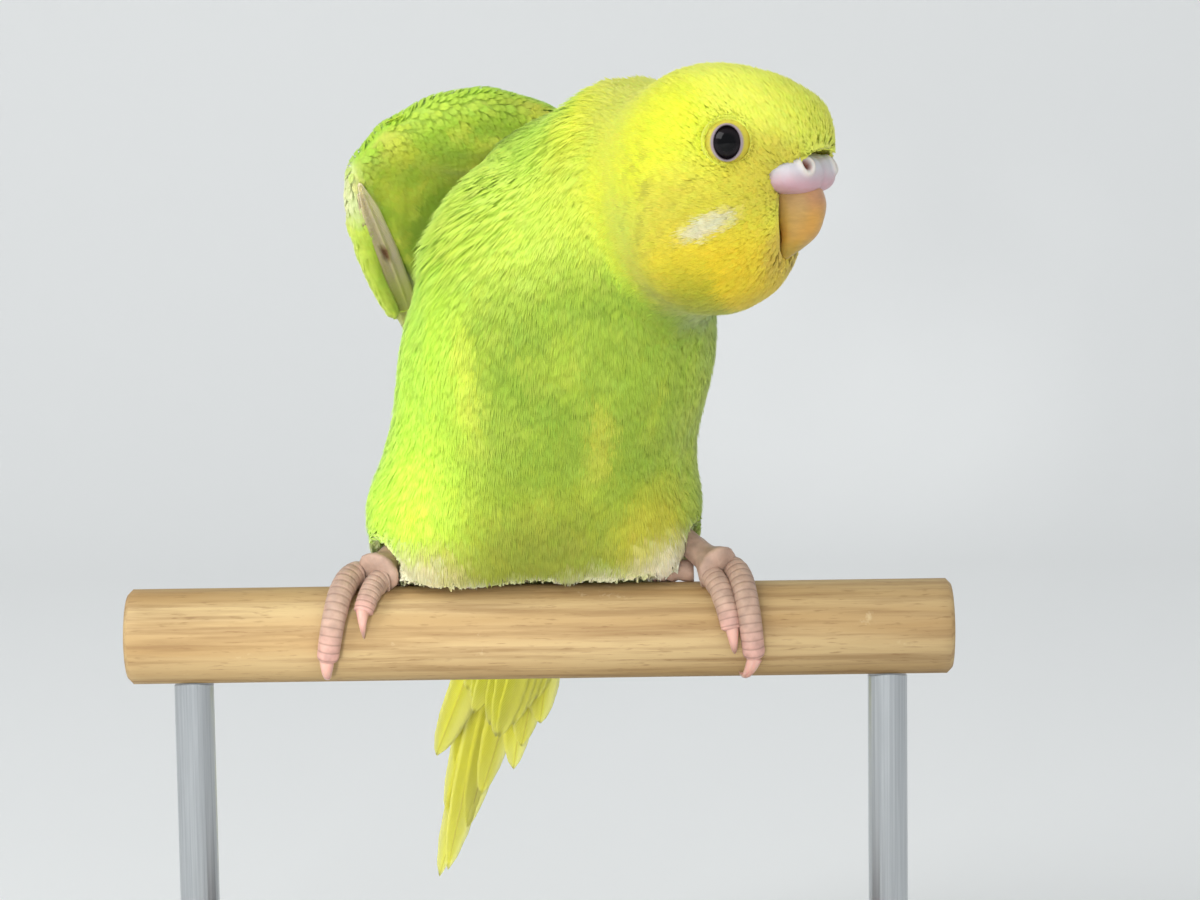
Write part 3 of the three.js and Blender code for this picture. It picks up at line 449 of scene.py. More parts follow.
def settle(piece):
    """Turns the piece's modifiers into its plain mesh."""
    graph = bpy.context.evaluated_depsgraph_get()
    done = piece.evaluated_get(graph)
    mesh = bpy.data.meshes.new_from_object(done, preserve_all_data_layers=True, depsgraph=graph)
    piece.modifiers.clear()
    piece.data = mesh


def melted(name, shape, voxel, softness, material):
    """One closed soft skin over the shapes added together."""
    mesh = bpy.data.meshes.new(name)
    shape.to_mesh(mesh)
    shape.free()
    made = linked(name, mesh)
    even = made.modifiers.new("even faces", "REMESH")
    even.mode, even.voxel_size = "VOXEL", voxel * MM
    soft = made.modifiers.new("soft", "SMOOTH")
    soft.factor, soft.iterations = 0.5, softness
    settle(made)
    made.data.materials.clear()
    made.data.materials.append(material)
    made.data.shade_smooth()
    return made


# Thin matt skin that lets a little light in, with the stubble of the down
hide = tinted(
    "Bird skin under down", 0.7, (1600, 1600, 1600), shade=(0.85, 1.02), strength=0.4, depth=0.1,
    Sheen_Weight=0.15, Subsurface_Weight=0.15, Subsurface_Scale=0.0015, Subsurface_Radius=(1.0, 0.6, 0.35),
)[0]
shape = bmesh.new()
for name in FLESH_NODES:
    part = bmesh.new()
    part.from_mesh(frame["nodes"][name].data)
    bmesh.ops.remove_doubles(part, verts=part.verts, dist=1e-6)
    part.normal_update()
    for vertex in part.verts:
        vertex.co += vertex.normal * OVERLAP * MM
    grown = bpy.data.meshes.new(name)
    part.to_mesh(grown)
    part.free()
    shape.from_mesh(grown)
skin = melted("body_skin", shape, 0.62, 14, hide)


def coat_depth(points):
    """How much of the head's finer coat points have, from 0 at the neck to 1, and the depth of the coat."""
    headness = between(-6, 3, (points - NECK["middle"]) @ NECK["way"])
    return headness, COAT_DEPTH["body"] + (COAT_DEPTH["head"] - COAT_DEPTH["body"]) * headness


points, outward = surface(skin)
points = points - outward * (coat_depth(points)[1] + OVERLAP)[:, None]
beyond, reach = mouth_depth(points)
pressed = (beyond + np.sqrt(beyond**2 + 0.3)) / 2 * reach * between(-4, -2, beyond)
move(skin, points - head_forward * pressed[:, None])
points, outward = surface(skin)
headness, depth = coat_depth(points)
forward, left, up = on_head(points).T

# The lie of the coat: it streams back from the base of the bill, turns down the neck and runs along the
# trunk to the tail, and down each thigh to the ankle.
BILL_BASE = head_point(19, 0, -3.5)
VENT = np.array((-6.0, 34.0, -22.0))
THIGHS = {"right": np.array((-16, 4, 10)), "left": np.array((15.5, 4, 10))}


def unit(vectors):
    """Vectors of length one."""
    return vectors / np.maximum(np.linalg.norm(vectors, axis=-1, keepdims=True), 1e-9)


def along_skin(way, outward):
    """Directions laid flat on the skin."""
    return unit(way - outward * np.sum(way * outward, axis=1)[:, None])


trunk_way = unit(unit(VENT - points) + np.array((0.02, 0.1, -0.85)))
lie = unit(points - BILL_BASE) * headness[:, None] + trunk_way * (1 - headness)[:, None]
for side, thigh in THIGHS.items():
    near = between(11, 5, np.linalg.norm((points - thigh) * (1, 0.8, 1), axis=1))[:, None] * 0.7
    lie = lie * (1 - near) + unit(FEET[side]["ankle"] + np.array((0, -3, -7)) - points) * near
lie = along_skin(lie, outward)

# The markings: a lemon head with a golden throat and a cream cheek patch, and a lime-green body with soft
# yellow streaks, olive low on the belly and cream beside the legs. The olive low on the belly is partly
# painted shade under the body. Painted light makes the body paler lime on its left, towards the key lamp,
# and lighter on the flank below the head, and painted shadow darkens the chin under the bill. Each patch
# has its colour, its middle and its reach along x, y and z, its softness and its strength. Those of the face
# are forward, aside and up.
# Of the belly's patches, the two olive ones low on the belly are its own colour deepened by painted shade
# under the body, and the light green one on the flank below the head is painted light where it lies in shadow
BELLY_MARKS_AND_PAINTED_SHADING = (
    ("#a9ad36", (2, -6, 9), (17, 14, 11), 0.6, 0.62), ("#868e34", (1, -8, 9), (11, 12, 7), 0.6, 0.75),
    ("#c6d850", (19, -3, 27), (5, 9, 12), 0.6, 0.6), ("#cfba3c", (14, -4, 13), (4, 5, 7), 0.6, 0.5),
    ("#dfe052", (-8.3, -14, 33), (1.7, 8, 7), 0.6, 0.6), ("#d3cf4c", (8, -13.6, 26), (1.4, 8, 5), 0.6, 0.6),
)
BREAST_PATCHES = (
    ("#d6ee5a", (-2, -10, 55), (15, 12, 11), 0.55, 0.8), ("#d6dd4c", (9, -13, 58), (7, 11, 11), 0.5, 0.6),
    ("#c8b06a", (-13.5, -9, 8), (5, 9, 4), 0.7, 0.5),
)
LEG_PATCHES = (
    ((-17, -1, 7), (6, 8, 4), 0.8, 0.8), ((17, -1, 8), (5, 6, 4), 0.8, 1),
    ((2, -2, 2.5), (20, 18, 4), 0.6, 1), ((9, -6, 3.5), (8, 12, 4.5), 0.6, 0.8),
)
BROW_PATCHES = (
    ("#e6eb60", (12, 0, 5), (5, 9, 7), 0.5, 0.7), ("#c4b03a", (9.5, 6.5, 0.5), (4.5, 4, 4.6), 0.5, 0.75),
    ("#cfc242", (2.5, 9, -4), (8, 6, 5.5), 0.5, 0.8),
)
COLLAR_PATCH = ("#c6cf46", (10, -20, 47), (7, 9, 8), 0.5, 0.5)
# The golden throat, then a painted shadow on the chin just under the bill
THROAT_AND_BILL_SHADOW_PATCHES = (
    ("#ebcc2c", (4, 4, -11), (11, 10, 6), 0.5, 0.85),
    ("#cbad4c", (9.3, 2.2, -8.4), (2.6, 2.6, 3.2), 0.5, 0.7),
)


def rough(points, size, seed, stretch=None, along=None):
    """Smooth noise of -1 to 1 at each point, with patches of a size in mm, drawn out along a direction."""
    p = points / size
    if stretch:
        p = p - along * (np.sum(p * along, axis=1) * (1 - 1 / stretch))[:, None]
    return np.array([noise.noise(Vector(q) + Vector((seed * 7.3, seed * 3.1, seed))) for q in p])


def spot(points, middle, reach, soft=0.5):
    """1 within a rounded patch of the given reach along x, y and z, falling to 0 outside it."""
    away = np.linalg.norm((points - np.asarray(middle, float)) / np.asarray(reach, float), axis=1)
    return between(1 + soft, 1 - soft, away)


def patched(colour, points, patches):
    """Colours with patches laid over them one after another."""
    for shade, middle, reach, soft, strength in patches:
        colour = mixed(colour, shade, spot(points, middle, reach, soft) * strength)
    return colour


def markings(points, outward, trunk):
    """The coat's colour at each point of the bird's body, from where it lies and, as painted light, which way
    it faces.
    """
    face = on_head(points)
    face[:, 1] = np.abs(face[:, 1])
    forward, aside, up = face.T
    wide = rough(points, 11, 1)
    streak = rough(points, 3.6, 2, 4.2, trunk)
    fine = rough(points, 1.9, 3, 2.6, trunk)
    colour = mixed("#90ac38", "#a1ba40", between(-0.5, 0.6, wide))
    colour = mixed(colour, "#d6df50", between(0.2, 0.75, streak) * 0.42)
    colour = mixed(colour, "#93b83c", between(0.2, 0.75, -streak) * 0.28)
    # Painted shade under the belly and painted light on the flank below the head, then painted light that
    # makes the left of the body, and all that faces left towards the key lamp, paler lime
    colour = patched(colour, points, BELLY_MARKS_AND_PAINTED_SHADING)
    colour = mixed(colour, "#d0f24c", between(-4, -16, points[:, 0]) * between(8, 16, points[:, 2]) * 0.85)
    colour = mixed(colour, "#c6f04c", between(-0.4, -0.95, outward[:, 0]) * 0.7)
    colour = patched(colour, points, BREAST_PATCHES)
    legs = np.max([spot(points, *place) * strength for *place, strength in LEG_PATCHES], axis=0)
    colour = mixed(colour, "#ece2cf", np.clip(legs + 0.4 * fine * legs, 0, 1) * 0.8)

    off = points - HEAD["centre"]
    head = between(16.8, 12.6, np.linalg.norm(off * (1, 1, 0.96), axis=1))
    head = np.max([head, spot(points, (13, -8, 66), (12, 12, 7), 0.45), between(1, 5, forward)], axis=0)
    lemon = mixed("#e6ea36", "#eef35e", between(-0.4, 0.5, wide))
    lemon = patched(lemon, face, BROW_PATCHES)
    lemon = patched(lemon, points, [COLLAR_PATCH])
    # The golden throat and the painted shadow under the bill
    lemon = patched(lemon, face, THROAT_AND_BILL_SHADOW_PATCHES)
    hairs = rough(np.column_stack([forward * 0.4 + up * 0.25, aside, up - forward * 0.35]), 0.8, 5)
    flecks = spot(face, (-3.5, 9, -2.5), (7, 5, 7)) * between(0.08, 0.5, hairs)
    lemon = mixed(lemon, "#a9a33a", flecks * 0.6)
    # The cheek patch rises forward, with an edge as rough as the hairs
    risen = up + 5.0 - 0.42 * (forward - 4.4) + 0.35 * hairs
    tilt = np.column_stack([forward - 3.9, (aside - 9.3) * 0.5, risen])
    lemon = mixed(lemon, "#d9d3ac", spot(tilt, (0, 0, 0), (2.9, 3, 1.2), 0.35))
    colour = mixed(colour, lemon, np.clip(head + 0.12 * streak * head, 0, 1))
    return mixed(colour, "#b9e044", spot(points, (1, -3, 65), (8, 7, 8), 0.5) * 0.75)


eyes = {}
for side, sign in (("right", -1), ("left", 1)):
    middle = np.mean(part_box(f"eye_{side}"), axis=0) / MM - (0, 0, PERCH_HEIGHT)
    eyes[side] = {"middle": middle, "out": unit(head_left * sign * 0.9 + head_forward * 0.42)}
# Feathers are left off the bare rings of the eyes, and off what lies just ahead of them along the coat
bald = np.zeros(len(points))
for eye in eyes.values():
    for ahead in (0, 0.3):
        near = points + lie * ahead - eye["middle"] - eye["out"] * 1.3
        bald = np.maximum(bald, between(2.1, 1.7, np.linalg.norm(near, axis=1)))
for foot in FEET.values():
    bald = np.maximum(bald, between(3.4, 2.6, np.linalg.norm(points - foot["ankle"], axis=1)))
# Nor do they grow behind the cere and the bill
beyond, reach = mouth_depth(points)
set_in = between(1.1, 0.9, np.hypot(left / 5.7, (up - CERE["up"]) / 1.5))
set_in = np.maximum(set_in, between(3.0, 2.4, np.abs(left)) * between(-9.2, -8.4, up) * between(1, 0, up))
bare = np.max([bald, in_cere(points, -0.15), between(-0.55, -0.1, beyond) * set_in], axis=0)

# How long a feather is, in millimetres: they are longest on the body and shortest round the eyes
LENGTHS = {"body": 5.6, "head": 2.9, "face": 2.0, "eye": 1.3}
face = between(9.5, 4.5, np.linalg.norm(points - head_point(12, 0, -2), axis=1))
by_eye = [between(5.5, 3, np.linalg.norm(points - eye["middle"], axis=1)) for eye in eyes.values()]
by_eye = np.max(by_eye, axis=0)
size = np.full(len(points), LENGTHS["body"])
for part, share in (("head", headness), ("face", face * headness), ("eye", by_eye * headness)):
    size = size + (LENGTHS[part] - size) * share
# A feather takes the colour of where its open half lies, on from its root
tone = markings(points + lie * size[:, None] * 0.55, outward, unit(trunk_way))
tone = mixed(tone, "#b9a090", bald)


def keep(mesh, name, kind, values):
    """Keeps values on a mesh's points under a name."""
    layer = mesh.attributes.new(name, kind, "POINT")
    field = {"FLOAT": "value", "FLOAT_COLOR": "color"}.get(kind, "vector")
    layer.data.foreach_set(field, np.asarray(values, np.float32).ravel())


def make_ground(piece, tone, lie, outward, size, depth, bare=0.0):
    """Keeps on a mesh what the feathers laid on it need, and unwraps it by its own shape."""
    mesh, every = piece.data, np.ones(len(piece.data.vertices))
    keep(mesh, "tint", "FLOAT_COLOR", tone)
    keep(mesh, "lie", "FLOAT_VECTOR", lie)
    keep(mesh, "outward", "FLOAT_VECTOR", outward)
    keep(mesh, "size", "FLOAT", size * every)
    keep(mesh, "depth", "FLOAT", depth * MM * every)
    keep(mesh, "feathered", "FLOAT", (1 - between(0.3, 0.6, bare)) * every)
    bpy.ops.object.select_all(action="DESELECT")
    bpy.context.view_layer.objects.active = piece
    piece.select_set(True)
    bpy.ops.object.mode_set(mode="EDIT")
    bpy.ops.mesh.select_all(action="SELECT")
    bpy.ops.uv.smart_project(angle_limit=math.radians(70), island_margin=0.008)
    bpy.ops.object.mode_set(mode="OBJECT")
    piece.data.uv_layers[0].name = "OFBake"


# The feathers of the nape and shoulder are puffed up, so that the head runs on into the back
nape = spot(points, (8, -10, 68), (8, 7, 7), 0.6)
shoulder = spot(points, (-7, -4, 56), (6, 8, 8), 0.6)
face = np.maximum(face, by_eye)
depth = depth * (1 - 0.3 * face * headness) + 0.2 * by_eye + 1.3 * nape + 2.0 * shoulder
depth = depth + 0.45 * between(-2, 8, up) * headness * (1 - face)
# The coat thins out where it meets the cere and the bill
depth = depth * (1 - 0.5 * between(-2.2, -0.2, beyond) * reach * between(3.2, 2.0, up))
# The feathers of the head stand off its round as a whole, not off each fold of the skin
stand_off = unit(outward + unit(points - head_point(0, 0, -1)) * 2.0 * headness[:, None])
make_ground(skin, tone, lie, stand_off, size + 1.8 * shoulder, depth, bare)
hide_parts(*FLESH_NODES)
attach(skin, "root")

# The small feathers of the head and body: soft vanes whose barbs part into fine tapered strands at the tip,
# rooted in the skin and laid over one another like thatch, longest on the belly and finest on the face.
STRANDS = {"body": 8, "head": 5}
KINDS = 5
# Each feather's colours bake to a patch this wide at its root's place on the skin's own unwrap
PATCH = 0.003
# How far the feathers lie apart, and their breadth against their length
COATS = {"head": (0.33, 0.32), "body": (0.68, 0.36), "arm": (0.56, 0.38), "tail": (0.7, 0.36)}


def strand_feather(name, strands, seed):
    """One small feather, 1 long and about 1 wide, as a fan of closed tapered strands. Its height over the
    skin is kept apart from its shape, so that it can follow the skin's curve."""
    draw = np.random.default_rng(seed)
    points, faces, heights, vane = [], [], [], []
    for s in range(strands):
        place = (s + 0.5) / strands * 2 - 1
        tip = np.array((place * (0.42 + 0.1 * draw.random()), 1 - 0.3 * abs(place) - 0.18 * draw.random()))
        root = np.array((place * 0.1, -0.04 + 0.1 * abs(place)))
        middle = np.array((place * (0.36 + 0.08 * draw.random()), 0.5 - 0.1 * abs(place)))
        across = np.array((1.0, -place * 0.25)) * 0.66 / strands
        a, high = len(points), 0.62 + 0.1 * draw.random()
        points += [(*root, 0), (*(middle - across), 0), (*(middle + across), 0), (*middle, 0), (*tip, 0)]
        heights += [-0.25, high, high, high + 0.03, 0.82 + 0.18 * draw.random()]
        vane += [(0.5, 0), (0, 0.55), (1, 0.55), (0.5, 0.55), (0.5, 1)]
        for corners in ((0, 3, 1), (0, 2, 3), (1, 3, 4), (3, 2, 4), (0, 1, 2), (1, 4, 2)):
            faces.append([a + c for c in corners])
    mesh = bpy.data.meshes.new(name)
    mesh.from_pydata(points, [], faces)
    keep(mesh, "height", "FLOAT", heights)
    keep(mesh, "vane", "FLOAT_VECTOR", np.column_stack([vane, np.zeros(len(vane))]))
    return bpy.data.objects.new(name, mesh)


quills = {}
for kind, strands in STRANDS.items():
    quills[kind] = bpy.data.collections.new(f"{kind} feathers")
    for seed in range(KINDS):
        quills[kind].objects.link(strand_feather(f"{kind}_feather_{seed}", strands, seed))

lay = bpy.data.node_groups.new("Lay of the small feathers", "GeometryNodeTree")
lay.is_modifier = True
for name, kind in {
    "Geometry": "Geometry", "Region": "String", "Spacing": "Float", "Breadth": "Float",
    "Feathers": "Collection", "Material": "Material", "Seed": "Int",
}.items():
    lay.interface.new_socket(name, in_out="INPUT", socket_type=f"NodeSocket{kind}")
lay.interface.new_socket("Geometry", in_out="OUTPUT", socket_type="NodeSocketGeometry")
given = add(lay, "GroupInput").outputs
kept = {
    name: add(lay, "InputNamedAttribute", {"Name": name}, data_type=kind)
    for kind, names in {
        "FLOAT_VECTOR": ("lie", "OFBake", "outward", "root", "vane"), "FLOAT_COLOR": ("tint",),
        "FLOAT": ("size", "depth", "height"),
    }.items()
    for name in names
}

# Roots as far apart as the spacing allows, each with the tint, depth and place on the unwrap of its skin
region = add(lay, "InputNamedAttribute", {"Name": given["Region"]}, data_type="FLOAT")
roots = add(lay, "DistributePointsOnFaces", {
    "Mesh": given["Geometry"], "Distance Min": given["Spacing"], "Density Max": 4e7, "Density Factor": region,
    "Seed": given["Seed"],
}, distribute_method="POISSON")
# What is drawn at random for each feather: its kind, its least and most, and its seed
drawn = {
    name: add(lay, "RandomValue", {"Min": low, "Max": high, "Seed": seed}, data_type=kind)
    for name, kind, low, high, seed in (
        ("sway", "FLOAT_VECTOR", (-0.11, -0.11, -0.11), (0.11, 0.11, 0.11), 3),
        ("hue", "FLOAT_VECTOR", (0.95, 0.97, 0.88), (1.04, 1.03, 1.1), 5), ("light", "FLOAT", 0.96, 1.04, 7),
        ("stand", "FLOAT", 0.9, 1.1, 9), ("length", "FLOAT", 0.82, 1.18, 11),
        ("which", "INT", 0, KINDS - 1, 13),
    )
}
way = add(lay, "VectorMath ADD", (kept["lie"], drawn["sway"]))
turns = {"Primary Axis": kept["outward"], "Secondary Axis": way}
turned = add(lay, "AxesToRotation", turns, primary_axis="Z", secondary_axis="Y")
toned = add(lay, "VectorMath MULTIPLY", (kept["tint"], drawn["hue"]))
toned = add(lay, "VectorMath SCALE", {0: toned, "Scale": drawn["light"]})
deep = add(lay, "Math MULTIPLY", (kept["depth"], drawn["stand"]))
for name, value, kind in (
    ("root", kept["OFBake"], "FLOAT_VECTOR"), ("tint", toned, "FLOAT_COLOR"), ("depth", deep, "FLOAT"),
):
    values = {"Geometry": roots, "Name": name, "Value": value}
    roots = add(lay, "StoreNamedAttribute", values, data_type=kind, domain="POINT")
roots = add(lay, "RemoveAttribute", {"Geometry": roots, "Name": "OFBake"})
length = add(lay, "Math MULTIPLY", (add(lay, "Math MULTIPLY", (kept["size"], drawn["length"])), MM))
breadth = add(lay, "Math MULTIPLY", (length, given["Breadth"]))
scale = add(lay, "CombineXYZ", (breadth, length, length))
kinds = {"Collection": given["Feathers"], "Separate Children": True, "Reset Children": True}
laid = add(lay, "InstanceOnPoints", {
    "Points": roots, "Instance": add(lay, "CollectionInfo", kinds), "Pick Instance": True,
    "Instance Index": drawn["which"], "Rotation": turned, "Scale": scale,
})
real = add(lay, "RealizeInstances", (laid,))
# Each point goes to the skin below it, and up from there by its own height in the depth of the coat
below = add(lay, "Proximity", (given["Geometry"],), target_element="FACES")
nearest = {"Mesh": given["Geometry"], "Value": kept["outward"], "Sample Position": add(lay, "InputPosition")}
normal = add(lay, "SampleNearestSurface", nearest, data_type="FLOAT_VECTOR")
up_by = add(lay, "Math MULTIPLY", (kept["height"], kept["depth"]))
rise = add(lay, "VectorMath SCALE", {0: normal, "Scale": up_by})
over_skin = add(lay, "VectorMath ADD", (below.outputs["Position"], rise))
draped = add(lay, "SetPosition", {"Geometry": real, "Position": over_skin})
centred = add(lay, "VectorMath SUBTRACT", (kept["vane"], (0.5, 0.5, 0)))
small = add(lay, "VectorMath SCALE", {0: centred, "Scale": PATCH})
patch = {"Geometry": draped, "Name": "OFBake", "Value": add(lay, "VectorMath ADD", (kept["root"], small))}
mapped = add(lay, "StoreNamedAttribute", patch, data_type="FLOAT2", domain="CORNER")
# Light falls on so fine a coat as on one soft surface, so a strand's upper faces lean to the skin's normal
own_normal = add(lay, "InputNormal").outputs["Normal"]
skin_normal = add(lay, "FieldOnDomain", {"Value": normal}, data_type="FLOAT_VECTOR", domain="POINT")
facing = add(lay, "VectorMath DOT_PRODUCT", (own_normal, skin_normal)).outputs["Value"]
lean_by = add(lay, "MapRange", {"Value": facing, "From Max": 0.45, "To Max": 3.0})
leaning = add(lay, "VectorMath SCALE", {0: skin_normal, "Scale": lean_by})
level = add(lay, "VectorMath NORMALIZE", (add(lay, "VectorMath ADD", (leaning, own_normal)),))
softened = add(lay, "SetMeshNormal", {"Mesh": mapped, "Custom Normal": level}, mode="FREE", domain="CORNER")
add(lay, "GroupOutput", (add(lay, "SetMaterial", {"Geometry": softened, "Material": given["Material"]}),))

# Barbs are matt with a faint sheen, darker towards the root, and drawn coarser than life so that they show
plume, tree, shader = finish_named(
    "Contour feather barbs", 0.68, Specular_IOR_Level=0.25, Sheen_Weight=0.2, Sheen_Roughness=0.45,
)
vane = add(tree, "Attribute", attribute_name="vane").outputs["Vector"]
vane = add(tree, "SeparateXYZ", (vane,)).outputs
root_shade = add(tree, "MapRange", {"Value": vane["Y"], "From Max": 0.75, "To Min": 0.86, "To Max": 1.04})
barb_line = add(tree, "Math SINE", (add(tree, "Math MULTIPLY", (vane["X"], 12.0)),))
barb_shade = add(tree, "MapRange", {"Value": barb_line, "From Min": -1.0, "To Min": 0.92, "To Max": 1.04})
shade = add(tree, "Math MULTIPLY", (root_shade, barb_shade))
tint = add(tree, "Attribute", attribute_name="tint")
dress(tree, shader, add(tree, "VectorMath SCALE", {0: tint, "Scale": shade}))


def plumage(name, ground, region, coat, kind, seed):
    """Lays small feathers over a region of a ground mesh, as one plain mesh."""
    bed = linked(name, ground.data)
    layer = bed.modifiers.new("lay", "NODES")
    layer.node_group = lay
    spacing, breadth = COATS[coat]
    values = {"Region": region, "Spacing": spacing * MM, "Breadth": breadth, "Seed": seed}
    values.update({"Feathers": quills[kind], "Material": plume})
    for socket in lay.interface.items_tree:
        if socket.in_out == "INPUT" and socket.name in values:
            layer[socket.identifier] = values[socket.name]
    settle(bed)
    spent = ("lie", "outward", "size", "depth", "root", "height")
    for extra in [a.name for a in bed.data.attributes if a.name in spent or a.name.startswith("region")]:
        bed.data.attributes.remove(bed.data.attributes[extra])
    return bed


# Regions: the coat is made in pieces that meet edge to edge
of_head, low, behind = headness > 0.5, points[:, 2] < 26, points[:, 1] - 0.3 * points[:, 2] + 6 > 2
high, near_side, to_right, trunk = up > -0.5, left < 0, points[:, 0] < 2, ~of_head & ~low & ~behind
regions = {
    "crown": of_head & high & near_side, "crown_far": of_head & high & ~near_side,
    "cheek_right": of_head & ~high & near_side, "cheek_left": of_head & ~high & ~near_side,
    "breast_right": trunk & to_right, "breast_left": trunk & ~to_right,
    "belly": ~of_head & low & ~behind, "back": ~of_head & ~low & behind, "rump": ~of_head & low & behind,
}
for name, inside in regions.items():
    keep(skin.data, f"region_{name}", "FLOAT", inside * (1 - between(0.3, 0.6, bare)))
for seed, name in enumerate(regions):
    coat = "head" if name.startswith(("crown", "cheek")) else "body"
    made = plumage(f"plumage_{name}", skin, f"region_{name}", coat, coat, seed)
    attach(made, "root")

# The eyes: glossy dark brown balls that fill the socket, each in a ring of bare lilac-grey skin. The two lids
# close round the ball in thin soft folds that stand a little above the feathers.
EYE = {"radius": 2.35, "sunk": 1.56, "rings": 20, "sides": 40, "lid_sides": 72}
# The lids in section: distance from the eye's axis, and height over the skin
LID_SECTION = (
    (1.66, -0.12), (1.7, 0.16), (1.8, 0.3), (1.92, 0.3), (2.0, 0.2), (2.08, 0.22), (2.2, 0.14), (2.34, 0.0),
    (2.55, -0.17), (3.0, -0.42), (3.0, -1.1), (2.1, -1.1), (1.8, -0.9),
)
# A tear film leaves the ball wet, and the lids are dry and finely creased
ball = tinted("Wet dark eye", 0.08, Specular_IOR_Level=0.15, Coat_Weight=0.08, Coat_Roughness=0.02)[0]
lid_skin = tinted(
    "Bare eyelid skin", 0.5, (3500, 3500, 3500), detail=3.0, strength=0.25, depth=0.05,
    Specular_IOR_Level=0.4, Subsurface_Weight=0.15, Subsurface_Scale=0.0006,
)[0]
for side, eye in eyes.items():
    axis, middle = eye["out"], eye["middle"]
    upright = unit(np.array((0, 0, 1.0)) - axis * axis[2])
    level = np.cross(upright, axis)
    points = []
    for lean in np.linspace(0.08, math.pi - 0.08, EYE["rings"]):
        for turn in np.linspace(0, 2 * math.pi, EYE["sides"], endpoint=False):
            out = (level * math.cos(turn) + upright * math.sin(turn)) * math.sin(lean)
            points.append(middle + EYE["radius"] * (axis * math.cos(lean) + out))
    points += [middle + axis * EYE["radius"], middle - axis * EYE["radius"]]
    made = piece_from(f"eye_ball_{side}", points, ring_faces(EYE["rings"], EYE["sides"]), ball)
    from_axis = np.linalg.norm(np.cross(np.array(points) - middle, axis), axis=1)
    paint(made, mixed("#050507", "#171215", between(0.9, 1.25, from_axis)))
    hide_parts(f"eye_{side}")
    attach(made, "root")

    points, tone = [], []
    for turn in 2 * math.pi * np.arange(EYE["lid_sides"]) / EYE["lid_sides"]:
        for reach, height in LID_SECTION:
            wrinkle = 0.03 * math.sin(23 * turn) * between(1.8, 2.2, reach) + 0.03 * math.sin(5 * turn + 1)
            tall = 1.14 - 0.17 * between(1.7, 2.4, reach)
            oval = level * math.cos(turn) * 0.88 + upright * math.sin(turn) * tall
            points.append(middle + axis * (EYE["sunk"] + height + wrinkle) + oval * reach)
            # Painted shade: the lids darken where they tuck in against the ball and where they sink below the
            # skin
            skin_tone = mixed("#40363a", "#a09195", between(-0.1, 0.28, height) * between(1.65, 1.95, reach))
            tone.append(mixed(skin_tone, "#cfc24c", between(2.05, 2.3, reach)))
    faces = ring_faces(EYE["lid_sides"], len(LID_SECTION), closed=True)
    made = piece_from(f"eyelids_{side}", points, faces, lid_skin)
    paint(made, tone)
    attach(made, "root")

# The cere: waxy bare skin over the root of the bill in two swollen lobes, lilac-pink below and paler above,
# with a nostril in each, brownish inside and darker in its hole as painted shade, and rimmed by a raised
# whitish ring.
BLUNTNESS = 2.6
FURROW = {"depth": 0.13, "width": 0.8}
NOSTRIL = {
    "forward": 13.75, "aside": 3.75, "up": 1.5, "depth": 1.1,
    "rim": 1.05, "rim_width": 0.35, "rim_height": 0.32,
}
wax = tinted(
    "Waxy cere skin", 0.38, (2200, 2200, 2200), strength=0.3, depth=0.06, Specular_IOR_Level=0.5,
    Subsurface_Weight=0.3, Subsurface_Scale=0.001, Subsurface_Radius=(1.0, 0.5, 0.4),
)[0]
shape = bmesh.new()
middle = head_point(CERE["forward"], 0, CERE["up"])
turned = Matrix.Translation(in_frame(middle)) @ Matrix.Rotation(math.radians(HEAD["yaw"] - 90), 4, "Z")
turned = turned @ Matrix.Diagonal((*(np.array(CERE["radii"]) * MM), 1))
bmesh.ops.create_icosphere(shape, subdivisions=4, radius=1, matrix=turned)
cere = melted("cere_wax", shape, 0.16, 6, wax)
points = surface(cere)[0]
# Its ends and edges are blunter than an ellipsoid's
away = (on_head(points) - (CERE["forward"], 0, CERE["up"])) / CERE["radii"]
blunt = np.linalg.norm(away, axis=1) / np.sum(np.abs(away) ** BLUNTNESS, axis=1) ** (1 / BLUNTNESS)
points = middle + (points - middle) * blunt[:, None]
move(cere, points)
outward = surface(cere)[1]
# A shallow furrow down the middle parts the two lobes
furrow = np.exp(-((on_head(points)[:, 1] / FURROW["width"]) ** 2))
points = points - outward * (FURROW["depth"] * furrow)[:, None]
tone = mixed("#c79ea6", "#c9c6ca", between(-1.5, 1.0, (points - middle)[:, 2]))
# Painted shade: the furrow between the lobes is painted a little darker
tone = mixed(tone, "#b08f97", furrow * 0.25)
for sign in (-1, 1):
    mouth = head_point(NOSTRIL["forward"], sign * NOSTRIL["aside"], NOSTRIL["up"])
    away = np.linalg.norm(points - mouth, axis=1)
    rim = np.exp(-(((away - NOSTRIL["rim"]) / NOSTRIL["rim_width"]) ** 2))
    rise = NOSTRIL["rim_height"] * rim - NOSTRIL["depth"] * between(0.75, 0.2, away)
    points = points + outward * rise[:, None]
    tone = mixed(tone, "#e4dccf", rim * 0.8)
    # Painted shade: the brown inside of each nostril darkens the hole
    tone = mixed(tone, "#86503f", between(0.85, 0.45, away))
move(cere, points + outward * (0.03 * rough(points, 0.9, 8))[:, None])
paint(cere, tone)
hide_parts("cere")
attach(cere, "root")

# The bill: horn over bone, the upper half hooked down over the lower, tucked close under the cere. It is
# warm orange-horn with faint growth lines across it, and paler along its ridge because its sides are painted
# darker olive as painted shade.
BILL = {"rings": 40, "sides": 36, "keel": 0.16, "squareness": 0.86}
